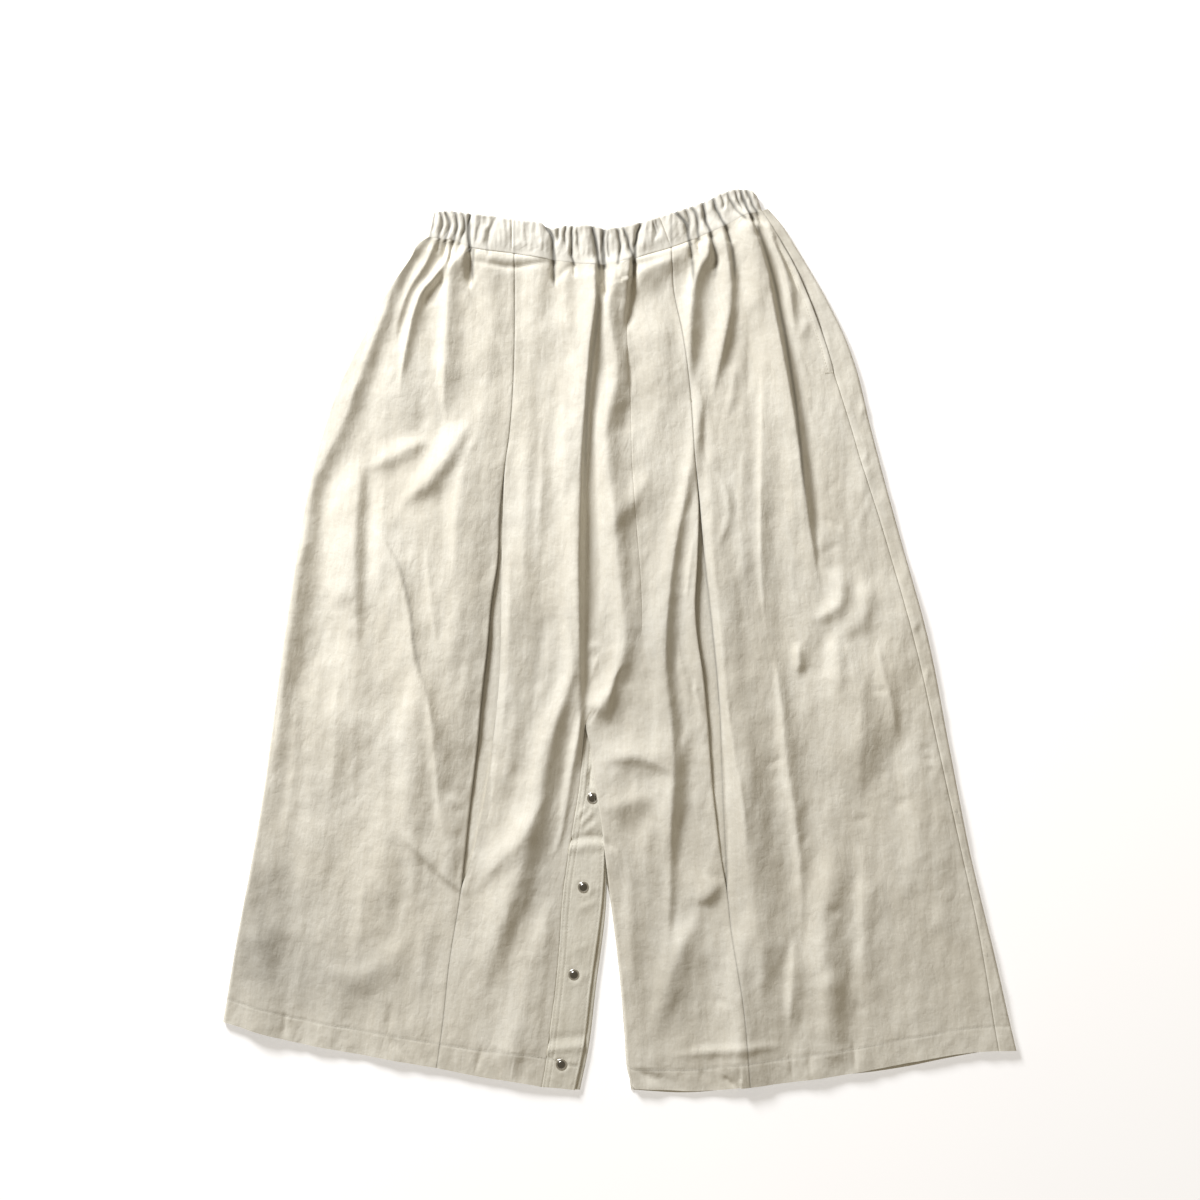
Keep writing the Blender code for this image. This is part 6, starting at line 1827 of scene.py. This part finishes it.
# %% What each piece stands for
Dress = namedtuple("Dress", "piece node material slot held width length area rests_on")
PANEL, PLACKET, BAND = (PANEL_TWILL, "cloth"), (PLACKET_TWILL, "placket"), (BAND_TWILL, "waistband")
FLOOR = "pale_floor"
ON_FLOOR, ON_RIGHT, ON_LEFT = [FLOOR], ["right_back_panel"], ["left_back_panel"]
ON_STRIP, ON_BAND = ["placket_under_strip"], ["waistband_back_band"]
DRESSES = [Dress(*row) for row in (
    ("right_side_panel", "right_front_side", *PANEL, "gathered", 0.25, 0.85, 0.165, ON_RIGHT),
    ("right_centre_panel", "right_front_centre", *PANEL, "gathered", 0.20, 0.85, 0.125, ON_RIGHT),
    ("left_centre_panel", "left_front_centre", *PANEL, "gathered", 0.14, 0.86, 0.085, ON_LEFT),
    ("left_side_panel", "left_front_side", *PANEL, "gathered", 0.27, 0.86, 0.18, ON_LEFT),
    ("right_pleat_strip", "right_pleat_underlay", *PANEL, "laid", 0.07, 0.46, None, ON_RIGHT),
    ("left_pleat_strip", "left_pleat_underlay", *PANEL, "laid", 0.07, 0.46, None, ON_LEFT),
    ("right_back_panel", "right_back", *PANEL, "laid", 0.35, 0.86, 0.22, ON_FLOOR),
    ("left_back_panel", "left_back", *PANEL, "folded", 0.42, 0.86, 0.27, ON_FLOOR),
    ("placket_front_strip", "placket_front", *PLACKET, "laid", 0.04, 0.37, None, ON_STRIP),
    ("placket_under_strip", "placket_under", *PLACKET, "laid", 0.04, 0.33, None, ON_RIGHT),
    ("waistband_right_band", "waistband_front_right", *BAND, "gathered", 0.11, 0.038, None, ON_BAND),
    ("waistband_centre_band", "waistband_front_centre", *BAND, "gathered", 0.21, 0.038, None, ON_BAND),
    ("waistband_left_band", "waistband_front_left", *BAND, "gathered", 0.125, 0.038, None, ON_BAND),
    ("waistband_back_band", "waistband_back", *BAND, "gathered", 0.36, 0.04, None, ON_FLOOR),
)]


def dress(piece, material):
    """Gives a piece its finish, and lets it ride on the one body."""
    piece.data.materials.append(material)
    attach(piece, BODY)


for d in DRESSES:
    piece = PIECES[d.piece]
    dress(piece, d.material)
    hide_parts(d.node)
for number in range(1, len(SNAPS) + 1):
    dress(PIECES[f"snap_{number}"], NICKEL_WITH_PAINTED_REFLECTION)
    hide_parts(f"snap_cap_{number}")
for name, piece in PIECES.items():
    if "stitches" in name or "tack" in name:
        dress(piece, THREAD)
print("pieces:", len(PIECES))

# %% [markdown]
# ## Floor, light and camera
#
# The floor is plain and pale. One large soft light stands low at the upper left, so that it grazes
# the cloth and each fold casts a soft shade on its far side; it is near enough for the hems to be
# dimmer than the waist. A weak warm sky fills the shadows. The camera looks straight down.

# %% Floor
FLOOR_SIZE = 12.0
FLOOR_GLOW = 0.45


def pale_floor():
    """A flat grid, a hair below the cloth, with a slight mottle and a slight glow of its own."""
    half = FLOOR_SIZE / 2
    places = np.linspace(-half, half, 9)
    grid_x, grid_y = np.meshgrid(places, -places)
    points = np.stack([grid_x, grid_y, np.full_like(grid_x, -0.0002)], -1)
    floor = make_mesh(FLOOR, points.reshape(-1, 3), grid_quads(*grid_x.shape)[1])
    material, tree, shader, place = new_material("pale_paper")
    grain = noise(tree, place, 2.0, 2.0)
    tone = blend_colour(tree, grain, (0.90, 0.89, 0.91, 1.0), (0.93, 0.93, 0.93, 1.0))
    tree.links.new(tone, shader.inputs["Base Color"])
    tree.links.new(tone, shader.inputs["Emission Color"])
    shader.inputs["Emission Strength"].default_value = FLOOR_GLOW
    shader.inputs["Roughness"].default_value = 0.9
    floor.data.materials.append(material)
    return floor


pale_floor()

# %% Lights, sky, camera and tone
KEY_PLACE, KEY_SIZE, KEY_POWER = (-1.45, 2.0, 1.3), 0.9, 106.0
KEY_COLOUR = (0.975, 0.985, 1.0)
KEY_TARGET = (0.0, 0.05, 0.0)
SKY_COLOUR, SKY_STRENGTH = (1.0, 0.875, 0.67), 0.27
BACKDROP_COLOUR = (0.68, 0.66, 0.64, 1.0)
CAMERA_HEIGHT, FRAMED_WIDTH = 2.4, 1.2
SENSOR_WIDTH = 36.0


def aim(thing, place, target):
    """Stands a light at its place and turns it to the target."""
    thing.location = place
    thing.rotation_euler = (Vector(target) - Vector(place)).to_track_quat("-Z", "Y").to_euler()


key = bpy.data.lights.new("window_light", "AREA")
key.shape, key.size = "DISK", KEY_SIZE
key.energy, key.color = KEY_POWER, KEY_COLOUR
key_light = bpy.data.objects.new("window_light", key)
bpy.context.scene.collection.objects.link(key_light)
aim(key_light, KEY_PLACE, KEY_TARGET)

sky = bpy.data.worlds.new("soft_sky")
sky.use_nodes = True
sky_light = sky.node_tree.nodes["Background"]
sky_light.inputs["Color"].default_value = (*SKY_COLOUR, 1.0)
sky_light.inputs["Strength"].default_value = SKY_STRENGTH
backdrop = add_node(sky.node_tree, "ShaderNodeBackground", {"Color": BACKDROP_COLOUR})
seen = add_node(sky.node_tree, "ShaderNodeLightPath").outputs["Is Camera Ray"]
chosen = add_node(sky.node_tree, "ShaderNodeMixShader",
                  {0: seen, 1: sky_light.outputs[0], 2: backdrop.outputs[0]})
sky.node_tree.links.new(chosen.outputs[0], sky.node_tree.nodes["World Output"].inputs["Surface"])
bpy.context.scene.world = sky

lens = bpy.data.cameras.new("overhead_camera")
lens.sensor_width = SENSOR_WIDTH
lens.lens = SENSOR_WIDTH * CAMERA_HEIGHT / FRAMED_WIDTH
camera = bpy.data.objects.new("overhead_camera", lens)
frame_centre = on_board(600.0, 600.0, 0.0)
camera.location = (frame_centre[0], frame_centre[1], CAMERA_HEIGHT)
bpy.context.scene.collection.objects.link(camera)
bpy.context.scene.camera = camera
bpy.context.scene.view_settings.view_transform = "Standard"
